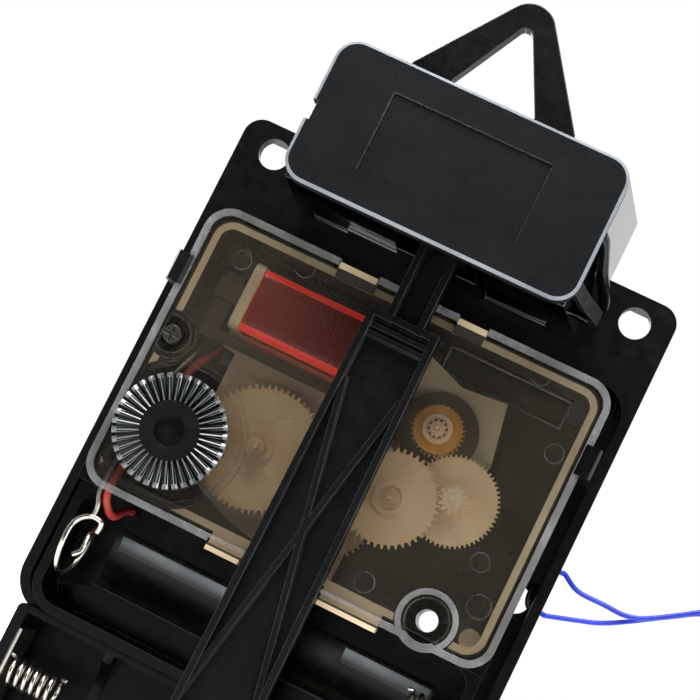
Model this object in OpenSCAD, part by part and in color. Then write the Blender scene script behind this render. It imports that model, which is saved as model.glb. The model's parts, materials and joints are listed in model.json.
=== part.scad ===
// Musical pendulum clock movement, seen from its back as it hangs on the wall
// Every piece is drawn in plan: x to the right, up, and h from the dial seat toward the back

/* [Movement case] */
// Width of the square case of the time movement
case_w = 56; // [54:0.5:68]
// Wall of the case
case_wall = 1.2; // [1:0.1:1.4]
// Outer corner radius of the case and its cover
case_corner_r = 4; // [3:0.25:5]
// Height of the cover's back above the dial seat
cover_back_h = 16; // [15.8:0.1:17]
// Height of the walls round the time cell
bay_wall_h = 12; // [11:0.25:13]

/* [Chassis] */
// Gap between the case and the chassis wall
well_gap = 1.8; // [1.6:0.1:2.6]
// Thickness of the chassis floor
floor_t = 1.2; // [1:0.1:1.3]
// Thickness of the chassis walls
rim_t = 1.4; // [1.2:0.1:2]
// Height of the chassis rim
rim_h = 6; // [5:0.25:7]
// Thickness of the plate with the two ears
ear_t = 2.3; // [2:0.1:3]
// Width of the plate above the movement well
ear_band = 11.3; // [10:0.25:14]
// Radius of the two fixing holes
ear_hole_r = 2.1; // [1.6:0.05:2.5]
// Distance between the two fixing holes
ear_hole_spacing = 52.2; // [48:0.2:56]

/* [Cells] */
// Radius of a round cell
cell_r = 7.25; // [7:0.05:7.25]
// Room for a cell across each bay of the music cells
music_bay_w = 15.4; // [15:0.1:18]
// Wall between the two music cells
bay_divider_t = 1.1; // [1:0.1:2]
// Wire of the coil springs
spring_wire_r = 0.3; // [0.25:0.01:0.35]

/* [Wheel train] */
// Size of the motion work teeth
motion_module = 0.27; // [0.25:0.005:0.3]
// Size of the teeth between the drive wheel and the intermediate pinion
drive_module = 0.28; // [0.26:0.005:0.3]
// Size of the rotor gear teeth
rotor_module = 0.2; // [0.18:0.005:0.22]
// Thickness of the plastic wheels
wheel_t = 0.8; // [0.6:0.05:0.9]
// Radius of the thin pivots
pivot_r = 0.3; // [0.25:0.01:0.35]

/* [Hands] */
// Radius of the threaded bush
bush_r = 4; // [3.8:0.1:5]
// Length of the bush in front of the dial seat
bush_l = 8; // [6:0.5:10]
// Radius of the hour hand pipe
hour_pipe_r = 2.5; // [2.4:0.05:2.7]
// Radius of the minute hand pipe
minute_pipe_r = 1.75; // [1.6:0.05:1.85]
// Radius of the seconds hand shaft
seconds_shaft_r = 0.7; // [0.6:0.02:0.72]
// Length of each hand seat
hand_step = 2.8; // [2:0.1:4]
// Radial play of a running fit
play = 0.05; // [0.03:0.01:0.08]

/* [Setting knob] */
// Radius of the setting knob
knob_r = 7.35; // [6.5:0.05:8]
// Number of ribs on the knob
knob_ribs = 37; // [24:1:40]

/* [Pendulum drive] */
// Width of the pendulum box at its lid
box_w = 36.8; // [34:0.4:40]
// Middle of the pendulum box, sideways from the hand shafts
box_at = -0.7; // [-1.5:0.1:1.5]
// Height of the pendulum box along the wall
box_l = 18.1; // [17:0.1:20]
// Depth of the box behind the ear plate
box_depth = 22.5; // [20:0.5:26]
// Thickness of the box walls
box_wall = 1.2; // [1:0.1:1.5]
// Width of the arm at its top
arm_w_top = 9.3; // [8:0.1:10]
// Width of the arm at the music cells
arm_w_low = 11; // [9.5:0.1:12]
// Distance from the pivot to the pendulum hook
arm_drop = 116; // [100:1:130]
// Radius of the pivot pin
pin_r = 0.8; // [0.6:0.05:1]

/* [Hanger] */
// Half width of the hanging bracket at the box
hanger_half_w = 10.8; // [9:0.1:12]
// Width of the bracket's band
hanger_band = 4.4; // [3:0.1:4.6]
// Thickness of the bracket
hanger_t = 2; // [1.5:0.1:2.5]

/* [Speaker wires] */
// Radius of a blue wire
wire_r = 0.325; // [0.3:0.005:0.35]
// Radius of the first turn of the put-away wire
coil_first_r = 2.2; // [2:0.1:3]
// Distance from one turn to the next
coil_pitch = 1.25; // [1.2:0.05:1.5]
// Turns of each put-away wire
coil_turns = 6; // [4:2:8]

/* [Hidden] */
$fn = 64;
cut = 0.5;

// Outline values of the case and the chassis
half = case_w / 2;
case_in = half - case_wall;
case_floor_h = floor_t + case_wall;
cover_t = 0.7;
cover_under_h = cover_back_h - 1;
chamber_low = half - case_w + 17;
bay_up = (chamber_low - case_in) / 2;
bay_axis_h = case_floor_h + cell_r;
well_half_w = half + well_gap;
chassis_half_w = well_half_w + rim_t;
well_top = half + 1.3;
ear_corner_r = 2.6;
well_corner_r = 5;
ear_top = well_top + rim_t + ear_band;
ear_hole = [ear_hole_spacing / 2, ear_top - 3.8];
well_low = -half - 0.1;
lower_half_w = chassis_half_w - 3.2;
music_top = well_low - 0.9;
music_low = music_top - 2 * music_bay_w - bay_divider_t;
chassis_low = music_low - rim_t;
music_axis_up = [music_top - music_bay_w / 2, music_low + music_bay_w / 2];
latch_up = [16.2, 20.2];

// Places of the arbors, from the teeth that mesh
motion_teeth = [14, 60, 17, 20, 56];
drive_teeth = [12, 44];
rotor_teeth = [33, 58];
rotor_star = [10, 0.24];
seconds_drive_teeth = [45, 35];
third_teeth = [8, 60];
centre_teeth = [8, 64];
function polar(r, a) = [r * cos(a), r * sin(a)];
function pitch_r(n, m) = n * m / 2;
function mesh_phase(a, phase_a, na, nb) = a + 180 + 180 / nb + posmod(a - phase_a, 360 / na) * na / nb;
function posmod(a, b) = a - b * floor(a / b);
work_distance = pitch_r(motion_teeth[0] + motion_teeth[1], motion_module);
knob_distance = pitch_r(motion_teeth[1] + motion_teeth[2], motion_module);
hour_module = 2 * work_distance / (motion_teeth[3] + motion_teeth[4]);
seconds_distance = 8.95;
seconds_module = 2 * seconds_distance / (seconds_drive_teeth[0] + seconds_drive_teeth[1]);
third_distance = 4.5;
third_module = 2 * third_distance / (third_teeth[0] + third_teeth[1]);
centre_module = 2 * third_distance / (centre_teeth[0] + centre_teeth[1]);
work_angle = 167.3;
knob_angle = 197.5;
drive_angle = 25.1;
intermediate_angle = 24.3;
rotor_angle = 127.85;
third_angle = -80;
hands = [0, 0];
work = polar(work_distance, work_angle);
knob = work + polar(knob_distance, knob_angle);
drive = polar(seconds_distance, drive_angle);
intermediate = drive + polar(pitch_r(drive_teeth[0] + drive_teeth[1], drive_module), intermediate_angle);
rotor_at = intermediate + polar(pitch_r(rotor_teeth[0] + rotor_teeth[1], rotor_module), rotor_angle);
third = polar(third_distance, third_angle);

// Levels of the wheels above the dial seat
hour_h = case_floor_h + 0.3;
frame_h = 6.6;
frame_t = 1;
centre_h = 8.1;
motion_h = 9.5;
seconds_h = 10.9;
top_h = 12;
pivot_top_h = cover_under_h - 0.2;
knob_top_h = cover_back_h + 2.5;
bush_root_r = bush_r + 0.4;
seat_shoulder = 0.2;
hour_pipe_end = -bush_l - hand_step;
minute_pipe_end = hour_pipe_end - hand_step;
seconds_end = minute_pipe_end - hand_step;

// Pendulum box and arm
box_low = ear_top - 9.8;
box_top = box_low + box_l;
box_back = rim_h + box_depth;
box_slant = 3.2;
lid_t = 2.5;
pivot = [0.8, box_top - 6.7];
arm_gate = [pivot[0] - 5.4, pivot[0] + 5.4];
arm_back_h = 20.5;
arm_t = 3.3;
arm_top = 23.7;
pivot_h = arm_back_h - arm_t / 2;
hanger_foot = hanger_band + 1;
hanger_top = [box_at + 0.1, box_top + 10.9];
hanger_round_r = 3.2;
drive_board_h = [rim_h + box_wall + 1, rim_h + box_wall + 1.8];
drive_coil_at = [pivot[0], pivot[1] - 6.2];
drive_coil_r = 3.4;
drive_coil_h = [drive_board_h[1], 15.2];

// Inner frame, cover and motor
frame_half_w = case_in - 0.2;
frame_wall = 0.9;
frame_outline = [
    [-18.5, 12], [-26, 13.4], [-26, 24], [0, 24.5], [9.9, 20.8], [16, 21.4], [17.6, 13], [13, 9], [6, 8],
    [5.5, -9], [-3, -9], [-10, -7.5], [-17, -4.5], [-18.5, 4]
];
top_tabs = [[-10.2, -5], [6.3, 10.2]];
low_tabs = [[-9.6, -5], [5.8, 13.8]];
tab_h = [13.4, cover_back_h];
lead_gate = [-26.2, -23.2];
lead_gate_h = 12.2;
counterbore = [18.9, -7.8];
counterbore_h = [13, 13.6];
counterbore_r = 1.4;
case_screw_at = [-25.5, 10.2];
screw_seat_h = 13.8;
knob_recess_r = 8.6;
knob_low_h = cover_back_h + 0.15;
knob_hub_r = 3.8;
cover_low_h = cover_under_h - 1.4;
small_bosses = [
    [21.7, 1.4, 1.2], [10, -7, 1.3], [23.9, -3.5, 1.5], [18.5, 25.4, 1.2], [24.1, 17.4, 1.2],
    [-14, 25, 1.3], [-21.6, 22.4, 1.2], [-5.3, 3.5, 3.8]
];
stator_h = [8, 8.8];
coil_up = 18.8;
coil_half_up = 4.35;
yoke_up = [12.4, 13.9];
coil_x = [-18.6, 0.3];
flange_t = 1.4;
coil_h = 11;
coil_half_h = 3.1;
coil_core_h = [10.6, 11.4];

// Contacts, music board and wire exits
contact_t = 0.4;
music_cell_h = floor_t + 0.4 + cell_r;
music_spring_r = 1.9;
music_spring_l = 7.6;
music_spring_turns = 6;
time_spring_r = 2.6;
time_spring_l = 6.4;
time_spring_turns = 4;
board_up = well_top + rim_t + 4.7;
music_board_h = [1.9, 2.9];
wire_exit_up = [5.3, -0.5];
wire_exit_h = 3;
lead_shelf_h = [3.4, 3.9];
coil_upper_at = [59, 16, 2.4];
coil_lower_at = [63, 0, 2.4];
plug_at = [74, 6.25, 3.3];
plug_pitch = 1.3;

// Common shapes in plan
module plan() {
    rotate([90, 0, 0]) children();
}
module slab(x, up, h) {
    translate([x[0], up[0], h[0]]) cube([x[1] - x[0], up[1] - up[0], h[1] - h[0]]);
}
module disc(at, r, h) {
    translate([at[0], at[1], h[0]]) cylinder(r = r, h = h[1] - h[0]);
}
module ring(at, r_in, r_out, h) {
    difference() {
        disc(at, r_out, h);
        disc(at, r_in, [h[0] - cut, h[1] + cut]);
    }
}
module rounded(x, up, r) {
    translate([x[0] + r, up[0]]) square([x[1] - x[0] - 2 * r, up[1] - up[0]]);
    translate([x[0], up[0] + r]) square([x[1] - x[0], up[1] - up[0] - 2 * r]);
    for (cx = [x[0] + r, x[1] - r])
        for (cu = [up[0] + r, up[1] - r])
            translate([cx, cu]) circle(r = r);
}
module plate(x, up, r, h) {
    translate([0, 0, h[0]]) linear_extrude(h[1] - h[0]) rounded(x, up, r);
}
module both_sides() {
    children();
    mirror([1, 0, 0]) children();
}

// A gear's teeth are trapezoids, narrow enough for some backlash
function gear_outline(n, m, phase) = [
    for (k = [0 : n - 1])
        for (p = [[-0.27, -1.1], [-0.12, 0.8], [0.12, 0.8], [0.27, -1.1]])
            polar(pitch_r(n, m) + p[1] * m, phase + (k + p[0]) * 360 / n)
];
module gear(at, n, m, phase, h) {
    translate([at[0], at[1], h[0]]) linear_extrude(h[1] - h[0]) polygon(gear_outline(n, m, phase));
}

// A tube swept through points, each ring square to its neighbours' chord
function along(points, i) =
    let (a = points[max(i - 1, 0)], b = points[min(i + 1, len(points) - 1)]) (b - a) / norm(b - a);
function tube_ring(points, i, r, sides, side_way) =
    let (t = along(points, i), u = cross(side_way, t) / norm(cross(side_way, t)), v = cross(t, u))
    [for (k = [0 : sides - 1]) points[i] + r * (u * cos(k * 360 / sides) + v * sin(k * 360 / sides))];
module tube(points, r, sides, side_way) {
    n = len(points);
    rings = [for (i = [0 : n - 1]) each tube_ring(points, i, r, sides, side_way)];
    walls = [
        for (i = [0 : n - 2])
            for (k = [0 : sides - 1])
                for (face = [
                    [i * sides + k, (i + 1) * sides + (k + 1) % sides, i * sides + (k + 1) % sides],
                    [i * sides + k, (i + 1) * sides + k, (i + 1) * sides + (k + 1) % sides]
                ])
                    face
    ];
    first = [for (k = [1 : sides - 2]) [0, k, k + 1]];
    last = [for (k = [1 : sides - 2]) [(n - 1) * sides, (n - 1) * sides + k + 1, (n - 1) * sides + k]];
    polyhedron(rings, concat(walls, first, last));
}
// A smooth curve through hand-chosen points
function curve_point(a, b, c, d, t) =
    0.5 * (2 * b + (c - a) * t + (2 * a - 5 * b + 4 * c - d) * t * t + (3 * b - a - 3 * c + d) * t * t * t);
function smooth(points, steps) = concat([
    for (i = [0 : len(points) - 2])
        for (s = [0 : steps - 1])
            curve_point(points[max(i - 1, 0)], points[i], points[i + 1],
                        points[min(i + 2, len(points) - 1)], s / steps)
], [points[len(points) - 1]]);
// The put-away wire: out in one layer, up a layer as the spiral turns back, and in again
function coil_r(t) = coil_first_r + coil_pitch * (t < coil_turns / 2 ? t : coil_turns - t);
function coil_climb(t) = coil_pitch * min(max(2 * t - coil_turns + 0.5, 0), 1);
function coil_point(at, t) = [
    at[0] + coil_r(t) * cos(t * 360 - 90),
    at[1] + coil_r(t) * sin(t * 360 - 90),
    at[2] + coil_climb(t)
];
function coil_points(at) = let (steps = 24 * coil_turns) concat(
    [coil_point(at, 0) - [2 * wire_r, 0, 0]],
    [for (s = [0 : steps]) coil_point(at, s / 24)],
    [coil_point(at, coil_turns) + [2 * wire_r, 0, 0]]
);
function least_gap(points, r, apart) = min([
    for (i = [0 : len(points) - 1])
        for (j = [i + apart : 1 : len(points) - 1])
            norm(points[i] - points[j])
]) - 2 * r;

// Shapes that run across the movement
module cross_bar(x, up, h, r) {
    translate([x[0], up, h]) rotate([0, 90, 0]) cylinder(r = r, h = x[1] - x[0]);
}
module upright_profile(up, points) {
    translate([0, up[1], 0]) rotate([90, 0, 0]) linear_extrude(up[1] - up[0]) polygon(points);
}

// Angles at which the teeth mesh
work_phase = mesh_phase(work_angle, 0, motion_teeth[0], motion_teeth[1]);
knob_phase = mesh_phase(knob_angle, work_phase, motion_teeth[1], motion_teeth[2]);
hour_phase = mesh_phase(work_angle + 180, 0, motion_teeth[3], motion_teeth[4]);
drive_low_phase = mesh_phase(drive_angle, 0, seconds_drive_teeth[1], seconds_drive_teeth[0]);
intermediate_pinion_phase = mesh_phase(intermediate_angle, 0, drive_teeth[1], drive_teeth[0]);
rotor_phase = mesh_phase(rotor_angle, 0, rotor_teeth[1], rotor_teeth[0]);
third_phase = mesh_phase(third_angle, 0, third_teeth[0], third_teeth[1]);
centre_phase = mesh_phase(third_angle + 180, 0, centre_teeth[0], centre_teeth[1]);

// The time contact's route, from the left end of the bay's axis at floor level
time_contact_steps = [
    [3.9, 2.6, 13.6], [3.9, 4, 13.8], [2.2, 4.1, 13.9], [0.7, 2.5, 13.7], [0.6, -0.3, 14],
    [0.9, -3, 12.9], [1.3, -4, 10.4], [1.7, -2.9, 7.9], [2.1, -0.4, 6.9], [2.4, 2, 7.9],
    [2.7, 3, 10.4], [3, 2, 12.7], [3.2, -0.1, 13.7], [2.4, -1.1, 13.8]
];
time_contact_route = [for (step = time_contact_steps) [-case_in, bay_up, 0] + step];

// Routes of the wires, as x, up and height in plan
red_lead_route = [
    [-20.5, 13, 3.2], [-20.5, 13, 3.7], [-20.5, 13, 4.2], [-21.4, 11, 5.2], [-22.4, 8.6, 7], [-23.2, 5, 9],
    [-23.8, 0, 11], [-24, -7, 12.4], [-24, -11.2, 13.3], [-23.2, -13, 12.6], [-22.5, -13.6, 10.8],
    [-22.2, -12.6, 7.6], [-22.2, -12.2, 4.4], [-22.2, -12.2, 3.4], [-22.2, -12.2, 2.4]
];
bare_lead_route = [
    [-21.9, 13, 3.2], [-21.9, 13, 3.7], [-21.9, 13, 4.2], [-22.9, 11.4, 5.2], [-23.7, 8.6, 7.2],
    [-24.6, 5, 9.2], [-25, 0, 11], [-25.1, -7, 12.6], [-25, -11.2, 13.5], [-24.4, -12.8, 13.9],
    [-24.2, -13.6, 13.9], [-24.2, -14, 13.9], [-24.2, -14.4, 13.9]
];
inside_upper_route = [
    [22, 34, 2.4], [23, 34, 2.4], [24, 34, 2.4], [27.6, 32.8, 2.6], [28.5, 29, 2.6], [28.5, 20, 2.6],
    [28.5, 9, 2.6], [28.7, 6.4, 2.9], [29.4, 5.4, 3], [30.2, 5.3, 3], [30.7, 5.3, 3], [31.2, 5.3, 3]
];
inside_lower_route = [
    [22, 35.2, 2.4], [23, 35.2, 2.4], [24, 35.2, 2.4], [28.6, 33.6, 2.6], [29.3, 30, 2.6], [29.3, 20, 2.6],
    [29.3, 9, 2.2], [29.1, 4, 2.1], [28.9, 1, 2.6], [29.4, -0.4, 3], [30.2, -0.5, 3], [30.7, -0.5, 3],
    [31.2, -0.5, 3]
];

speaker_upper_route = [
    [31.2, 5.3, 3], [31.6, 5.3, 3], [32, 5.3, 3], [34.3, 4.1, 3.1], [37.9, 4, 3.3], [41.2, 4, 3.3],
    [44.2, 5.2, 3.3], [50.2, 9.2, 3.3], [51.8, 11, 2.2], [53.4, 12.6, 1.1], [55.5, 13.6, 1.1],
    [56.8, 13.8, 1.2],
    [57.3, 13.8, 1.9], [57.75, 13.8, 2.4], [58.05, 13.8, 2.4], [58.35, 13.8, 2.4]
];
speaker_lower_route = [
    [31.2, -0.5, 3], [31.6, -0.5, 3], [32, -0.5, 3], [35.7, 0.7, 2.8], [38.5, 1.7, 2.5], [41.4, 3.3, 2.4],
    [46.1, 6.3, 2.4], [50.4, 8.7, 2.4], [53.5, 7.6, 2], [55, 4.4, 1.4], [55.8, 0.4, 1.1],
    [58, -2, 1.1], [60.8, -2.2, 1.2], [61.3, -2.2, 1.9], [61.75, -2.2, 2.4],
    [62.05, -2.2, 2.4], [62.35, -2.2, 2.4]
];
tail_upper_route = [
    [59.65, 13.8, 3.65], [59.95, 13.8, 3.65], [60.25, 13.8, 3.65], [60.9, 13.8, 4.4], [61.5, 13.8, 5],
    [65.4, 13.6, 5], [69, 11.6, 4.6], [71.4, 8.6, 3.8], [73, 6.9, 3.3], [73.5, 6.9, 3.3], [74, 6.9, 3.3]
];
tail_lower_route = [
    [63.65, -2.2, 3.65], [63.95, -2.2, 3.65], [64.25, -2.2, 3.65], [64.9, -2.2, 4.4], [65.5, -2.2, 5],
    [68.4, -1.8, 5], [70.6, 0.6, 4.6], [71.6, 3.8, 3.8], [73, 5.6, 3.3], [73.5, 5.6, 3.3], [74, 5.6, 3.3]
];

// Chassis
module chassis() color("#1b1d1f") plan() {
    difference() {
        union() {
            plate([-chassis_half_w, chassis_half_w], [0, ear_top], ear_corner_r, [0, rim_h]);
            plate([-chassis_half_w, chassis_half_w], [music_top, well_low + well_corner_r * 2], well_corner_r,
                  [0, rim_h]);
            slab([-chassis_half_w, chassis_half_w], [well_low + well_corner_r, ear_corner_r], [0, rim_h]);
            plate([-lower_half_w, lower_half_w], [chassis_low, well_low], 0.8, [0, bay_wall_h]);
        }
        // Movement well
        plate([-well_half_w, well_half_w], [well_low, well_top], 4, [floor_t, rim_h + cut]);
        slab([-half + 2, half - 2], [well_low, well_low + 5], [floor_t, bay_wall_h + cut]);
        // Hollow behind the ear plate
        slab([-well_half_w, well_half_w], [well_top + rim_t, ear_top - rim_t], [-cut, rim_h - ear_t]);
        // Passage of the speaker leads
        slab([27.9, 29.7], [well_top - 4, well_top + rim_t + cut], [floor_t + 0.6, rim_h - ear_t]);
        for (bay = music_axis_up)
            slab([-lower_half_w + rim_t, lower_half_w - rim_t],
                 [bay - music_bay_w / 2, bay + music_bay_w / 2], [floor_t, bay_wall_h + cut]);
        slab([-lower_half_w + rim_t, -lower_half_w + rim_t + contact_t + 0.1],
             [music_axis_up[1], music_axis_up[0]], [bay_wall_h - 1.5, bay_wall_h + cut]);
        for (side = [-1, 1])
            disc([side * ear_hole[0], ear_hole[1]], ear_hole_r, [-cut, rim_h + cut]);
        disc(hands, bush_root_r + 0.1, [-cut, floor_t + cut]);
        disc([27.6, -0.2], 1.9, [-cut, floor_t + cut]);
        disc(counterbore, counterbore_r, [-cut, floor_t + cut]);
        for (exit_up = wire_exit_up)
            cross_bar([well_half_w - cut, chassis_half_w + cut], exit_up, wire_exit_h, wire_r + 0.08);
    }
    // Cradle ribs of the music cells
    for (bay = music_axis_up)
        for (x = [-16, 0, 16])
            difference() {
                slab([x - 0.6, x + 0.6], [bay - music_bay_w / 2, bay + music_bay_w / 2],
                     [floor_t, floor_t + 3.2]);
                cross_bar([x - 1, x + 1], bay, music_cell_h, cell_r + 0.1);
            }
    // Snap tongues that hold the movement
    both_sides() snap_tongue();
    // Shelf over the speaker leads
    slab([half + 0.1, well_half_w + cut], [2.6, well_top - 3], lead_shelf_h);
    // Posts of the music board
    for (x = [-18, 18])
        disc([x, board_up], 1.2, [music_board_h[1], rim_h - ear_t]);
}
module snap_tongue() {
    slab([half + 0.2, well_half_w], latch_up, [rim_h - ear_t + 0.3, rim_h]);
    slab([half + 0.2, half + 1.4], latch_up, [rim_h, cover_back_h + 0.1]);
    upright_profile(latch_up, [
        [half + 1.4, cover_back_h + 0.1], [half + 1, cover_back_h + 1], [half - 0.3, cover_back_h + 0.5],
        [half - 0.8, cover_back_h + 0.1]
    ]);
}

module movement_case() color("#202224") plan() {
    difference() {
        plate([-half, half], [-half, half], case_corner_r, [floor_t, cover_under_h]);
        plate([-case_in, case_in], [chamber_low + case_wall, case_in], case_corner_r - case_wall,
              [case_floor_h, cover_under_h + cut]);
        plate([-case_in, case_in], [-case_in, chamber_low], case_corner_r - case_wall,
              [case_floor_h, cover_under_h + cut]);
        slab([-half - cut, half + cut], [-half - cut, chamber_low], [bay_wall_h, cover_under_h + cut]);
        disc(hands, bush_root_r, [floor_t - cut, case_floor_h + cut]);
        disc(work, pivot_r + 0.2 + play, [floor_t + 0.5, case_floor_h + cut]);
        // Notches for the snap tabs of the inner frame
        for (tab = top_tabs)
            slab([tab[0] - 0.1, tab[1] + 0.1], [case_in - cut, half + cut],
                 [tab_h[0] - 0.1, cover_under_h + cut]);
        for (tab = low_tabs)
            slab([tab[0] - 0.1, tab[1] + 0.1], [chamber_low - cut, chamber_low + case_wall + cut],
                 [tab_h[0] - 0.1, cover_under_h + cut]);
        // Gate for the leads
        slab(lead_gate, [chamber_low - cut, chamber_low + case_wall + cut],
             [lead_gate_h, cover_under_h + cut]);
        disc(counterbore, counterbore_r, [floor_t - cut, case_floor_h + cut]);
    }
    // Trough of the time cell
    difference() {
        slab([-22.4, 23.4], [bay_up - 4, bay_up + 4], [case_floor_h - cut, case_floor_h + 0.9]);
        cross_bar([-24, 25], bay_up, bay_axis_h, cell_r + 0.1);
    }
    ring(knob, 1 + play, 2, [case_floor_h, frame_h - 0.2]);
    ring(case_screw_at, 0.7, 1.5, [case_floor_h, screw_seat_h]);
    ring(counterbore, counterbore_r, 2.6, [case_floor_h, counterbore_h[0]]);
}

module movement_cover() color("#6f6a60", 0.45) plan() {
    difference() {
        union() {
            plate([-half, half], [chamber_low, half], case_corner_r - 0.5,
                  [cover_under_h, cover_under_h + cover_t]);
            difference() {
                plate([-half, half], [chamber_low, half], case_corner_r - 0.5, [cover_under_h, cover_back_h]);
                plate([-half + 0.9, half - 0.9], [chamber_low + 0.9, half - 0.9], case_corner_r - 1.4,
                      [cover_under_h - cut, cover_back_h + cut]);
            }
            in_chamber() {
                disc(knob, knob_recess_r + 0.7, [cover_low_h, cover_under_h]);
                disc(counterbore, 3.9, [counterbore_h[0], cover_under_h]);
                disc(case_screw_at, 3, [screw_seat_h, cover_under_h]);
            }
            ring(counterbore, 3.2, 3.9, [cover_under_h, cover_back_h]);
            for (at = [work, drive, intermediate, rotor_at, third, hands])
                disc(at, 1.3, [pivot_top_h - 0.6, cover_under_h + cut]);
            for (boss = small_bosses)
                disc([boss[0], boss[1]], boss[2], [cover_under_h, cover_under_h + cover_t + 0.25]);
        }
        // Sunk field round the setting knob
        in_chamber(cover_t) disc(knob, knob_recess_r, [cover_low_h + cover_t, cover_back_h + cut]);
        disc(knob, 1 + play, [cover_low_h - cut, cover_back_h]);
        disc(knob, knob_r + 0.3, [cover_back_h - 0.35, cover_back_h + cut]);
        // Sunk seat of the screw and the open counterbore
        in_chamber() disc(case_screw_at, 2.4, [screw_seat_h + cover_t, cover_back_h + cut]);
        disc(case_screw_at, 0.75, [screw_seat_h - cut, cover_back_h]);
        disc(counterbore, 2.8, [counterbore_h[1], cover_back_h + cut]);
        disc(counterbore, counterbore_r, [counterbore_h[0] - cut, cover_back_h]);
        for (at = [work, drive, intermediate, rotor_at, third, hands])
            disc(at, pivot_r + play, [0, pivot_top_h]);
        for (tab = top_tabs)
            slab([tab[0] - 0.1, tab[1] + 0.1], [case_in - 0.3 - frame_wall, half + cut],
                 [cover_under_h - cut, cover_back_h + cut]);
        for (tab = low_tabs)
            slab([tab[0] - 0.1, tab[1] + 0.1], [chamber_low - cut, chamber_low + 0.5],
                 [cover_under_h - cut, cover_back_h + cut]);
        // Finger notches beside the snap tongues
        for (side = [-1, 1])
            slab([side * half - 0.7, side * half + 0.7], latch_up, [cover_under_h - cut, cover_back_h + cut]);
        // Plain panel
        slab([7, 23.3], [20.5, 24], [cover_under_h + cover_t - 0.25, cover_back_h]);
    }
}
module in_chamber(inset = 0) {
    intersection() {
        union() children();
        slab([-case_in + 0.1 + inset, case_in - 0.1 - inset],
             [chamber_low + case_wall + 0.1 + inset, case_in - 0.1 - inset], [0, cover_back_h + 1]);
    }
}

module train_frame() color("#cdbb98") plan() {
    difference() {
        union() {
            translate([0, 0, frame_h]) linear_extrude(frame_t) polygon(frame_outline);
            disc(drive, 4.6, [frame_h, frame_h + frame_t]);
            disc(intermediate, 4.2, [frame_h, frame_h + frame_t]);
        }
        disc(hands, 1.45 + play, [0, frame_h + frame_t + cut]);
        disc(work, 1.2, [0, frame_h + frame_t + cut]);
        for (at = [drive, intermediate, rotor_at, third])
            disc(at, pivot_r + play, [frame_h + 0.2, frame_h + frame_t + cut]);
    }
    difference() {
        plate([-frame_half_w, frame_half_w], [chamber_low + case_wall + 0.2, case_in - 0.2],
              case_corner_r - case_wall - 0.2, [frame_h, cover_under_h - 0.1]);
        plate([-frame_half_w + frame_wall, frame_half_w - frame_wall],
              [chamber_low + case_wall + 0.2 + frame_wall, case_in - 0.2 - frame_wall],
              case_corner_r - case_wall - 0.2 - frame_wall, [0, cover_under_h + cut]);
        // Gate for the leads
        slab(lead_gate, [chamber_low, chamber_low + 3], [lead_gate_h, cover_under_h + cut]);
        disc(case_screw_at, 3.2, [0, cover_under_h + cut]);
        disc(counterbore, 4.1, [0, cover_under_h + cut]);
        disc(knob, knob_recess_r + 0.9, [cover_low_h - 0.2, cover_under_h + cut]);
    }
    for (tab = top_tabs)
        slab(tab, [case_in - 0.2 - frame_wall, case_in + 0.8], [tab_h[0], cover_back_h]);
    for (tab = low_tabs)
        slab(tab, [chamber_low - 1, chamber_low + case_wall + 0.2 + frame_wall],
             [tab_h[0], cover_under_h - 0.1]);
    for (tab = low_tabs)
        slab(tab, [chamber_low - 1, chamber_low - 0.1], [tab_h[0] - 1.2, cover_back_h]);
    for (x = [-frame_half_w + 2, frame_half_w - 2])
        for (up = [chamber_low + case_wall + 2.2, case_in - 2.2])
            disc([x, up], 1.4, [case_floor_h, frame_h + frame_t]);
}

module stator() color("#8d8f92") plan() {
    difference() {
        union() {
            slab([-24, 3.5], yoke_up, stator_h);
            slab([-24, -21.6], [yoke_up[0], 21.4], stator_h);
            slab([1.4, 3.5], [yoke_up[0], 21.4], stator_h);
            disc(rotor_at, 5.2, stator_h);
            slab([3, 9], [11, 17], stator_h);
        }
        disc(rotor_at, 2.6, [0, cover_back_h]);
    }
}
module coil_core() color("#9a9ca0") plan() {
    slab([-24, 3.5], [coil_up - 1.4, coil_up + 1.4], coil_core_h);
    slab([-24, -21.6], [coil_up - 1.4, coil_up + 1.4], [stator_h[1], coil_core_h[0]]);
    slab([1.4, 3.5], [coil_up - 1.4, coil_up + 1.4], [stator_h[1], coil_core_h[0]]);
}
module coil_block(x, extra, r) {
    translate([x[0], 0, 0]) rotate([90, 0, 90]) linear_extrude(x[1] - x[0])
        rounded([coil_up - coil_half_up - extra, coil_up + coil_half_up + extra],
                [coil_h - coil_half_h - extra, coil_h + coil_half_h + extra], r);
}
module motor_bobbin() color("#d9c9a6") plan() {
    difference() {
        union() {
            coil_block([coil_x[0] - flange_t, coil_x[0]], 0.2, 1.2);
            coil_block([coil_x[1], coil_x[1] + 0.9], 0.2, 1.2);
            slab(coil_x, [coil_up - 2.2, coil_up + 2.2], [coil_h - 1.3, coil_h + 1.3]);
        }
        slab([-22, 2], [coil_up - 1.5, coil_up + 1.5], [coil_core_h[0] - 0.1, coil_core_h[1] + 0.1]);
    }
}
module motor_winding() color("#c8322b") plan() {
    difference() {
        coil_block(coil_x, 0, 1.7);
        slab([-21, 1], [coil_up - 2.2, coil_up + 2.2], [coil_h - 1.3, coil_h + 1.3]);
    }
}
module circuit_board() color("#2f5b3a") plan() {
    slab([-23, 8], [10.4, 22.8], [case_floor_h, case_floor_h + 0.8]);
}
module quartz_crystal() color("silver") plan() {
    cross_bar([-14, -8], 21, case_floor_h + 0.8 + 1, 1);
}
module chip() color("#141414") plan() {
    disc([-1, 17], 2.6, [case_floor_h + 0.8, case_floor_h + 1.6]);
}
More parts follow.
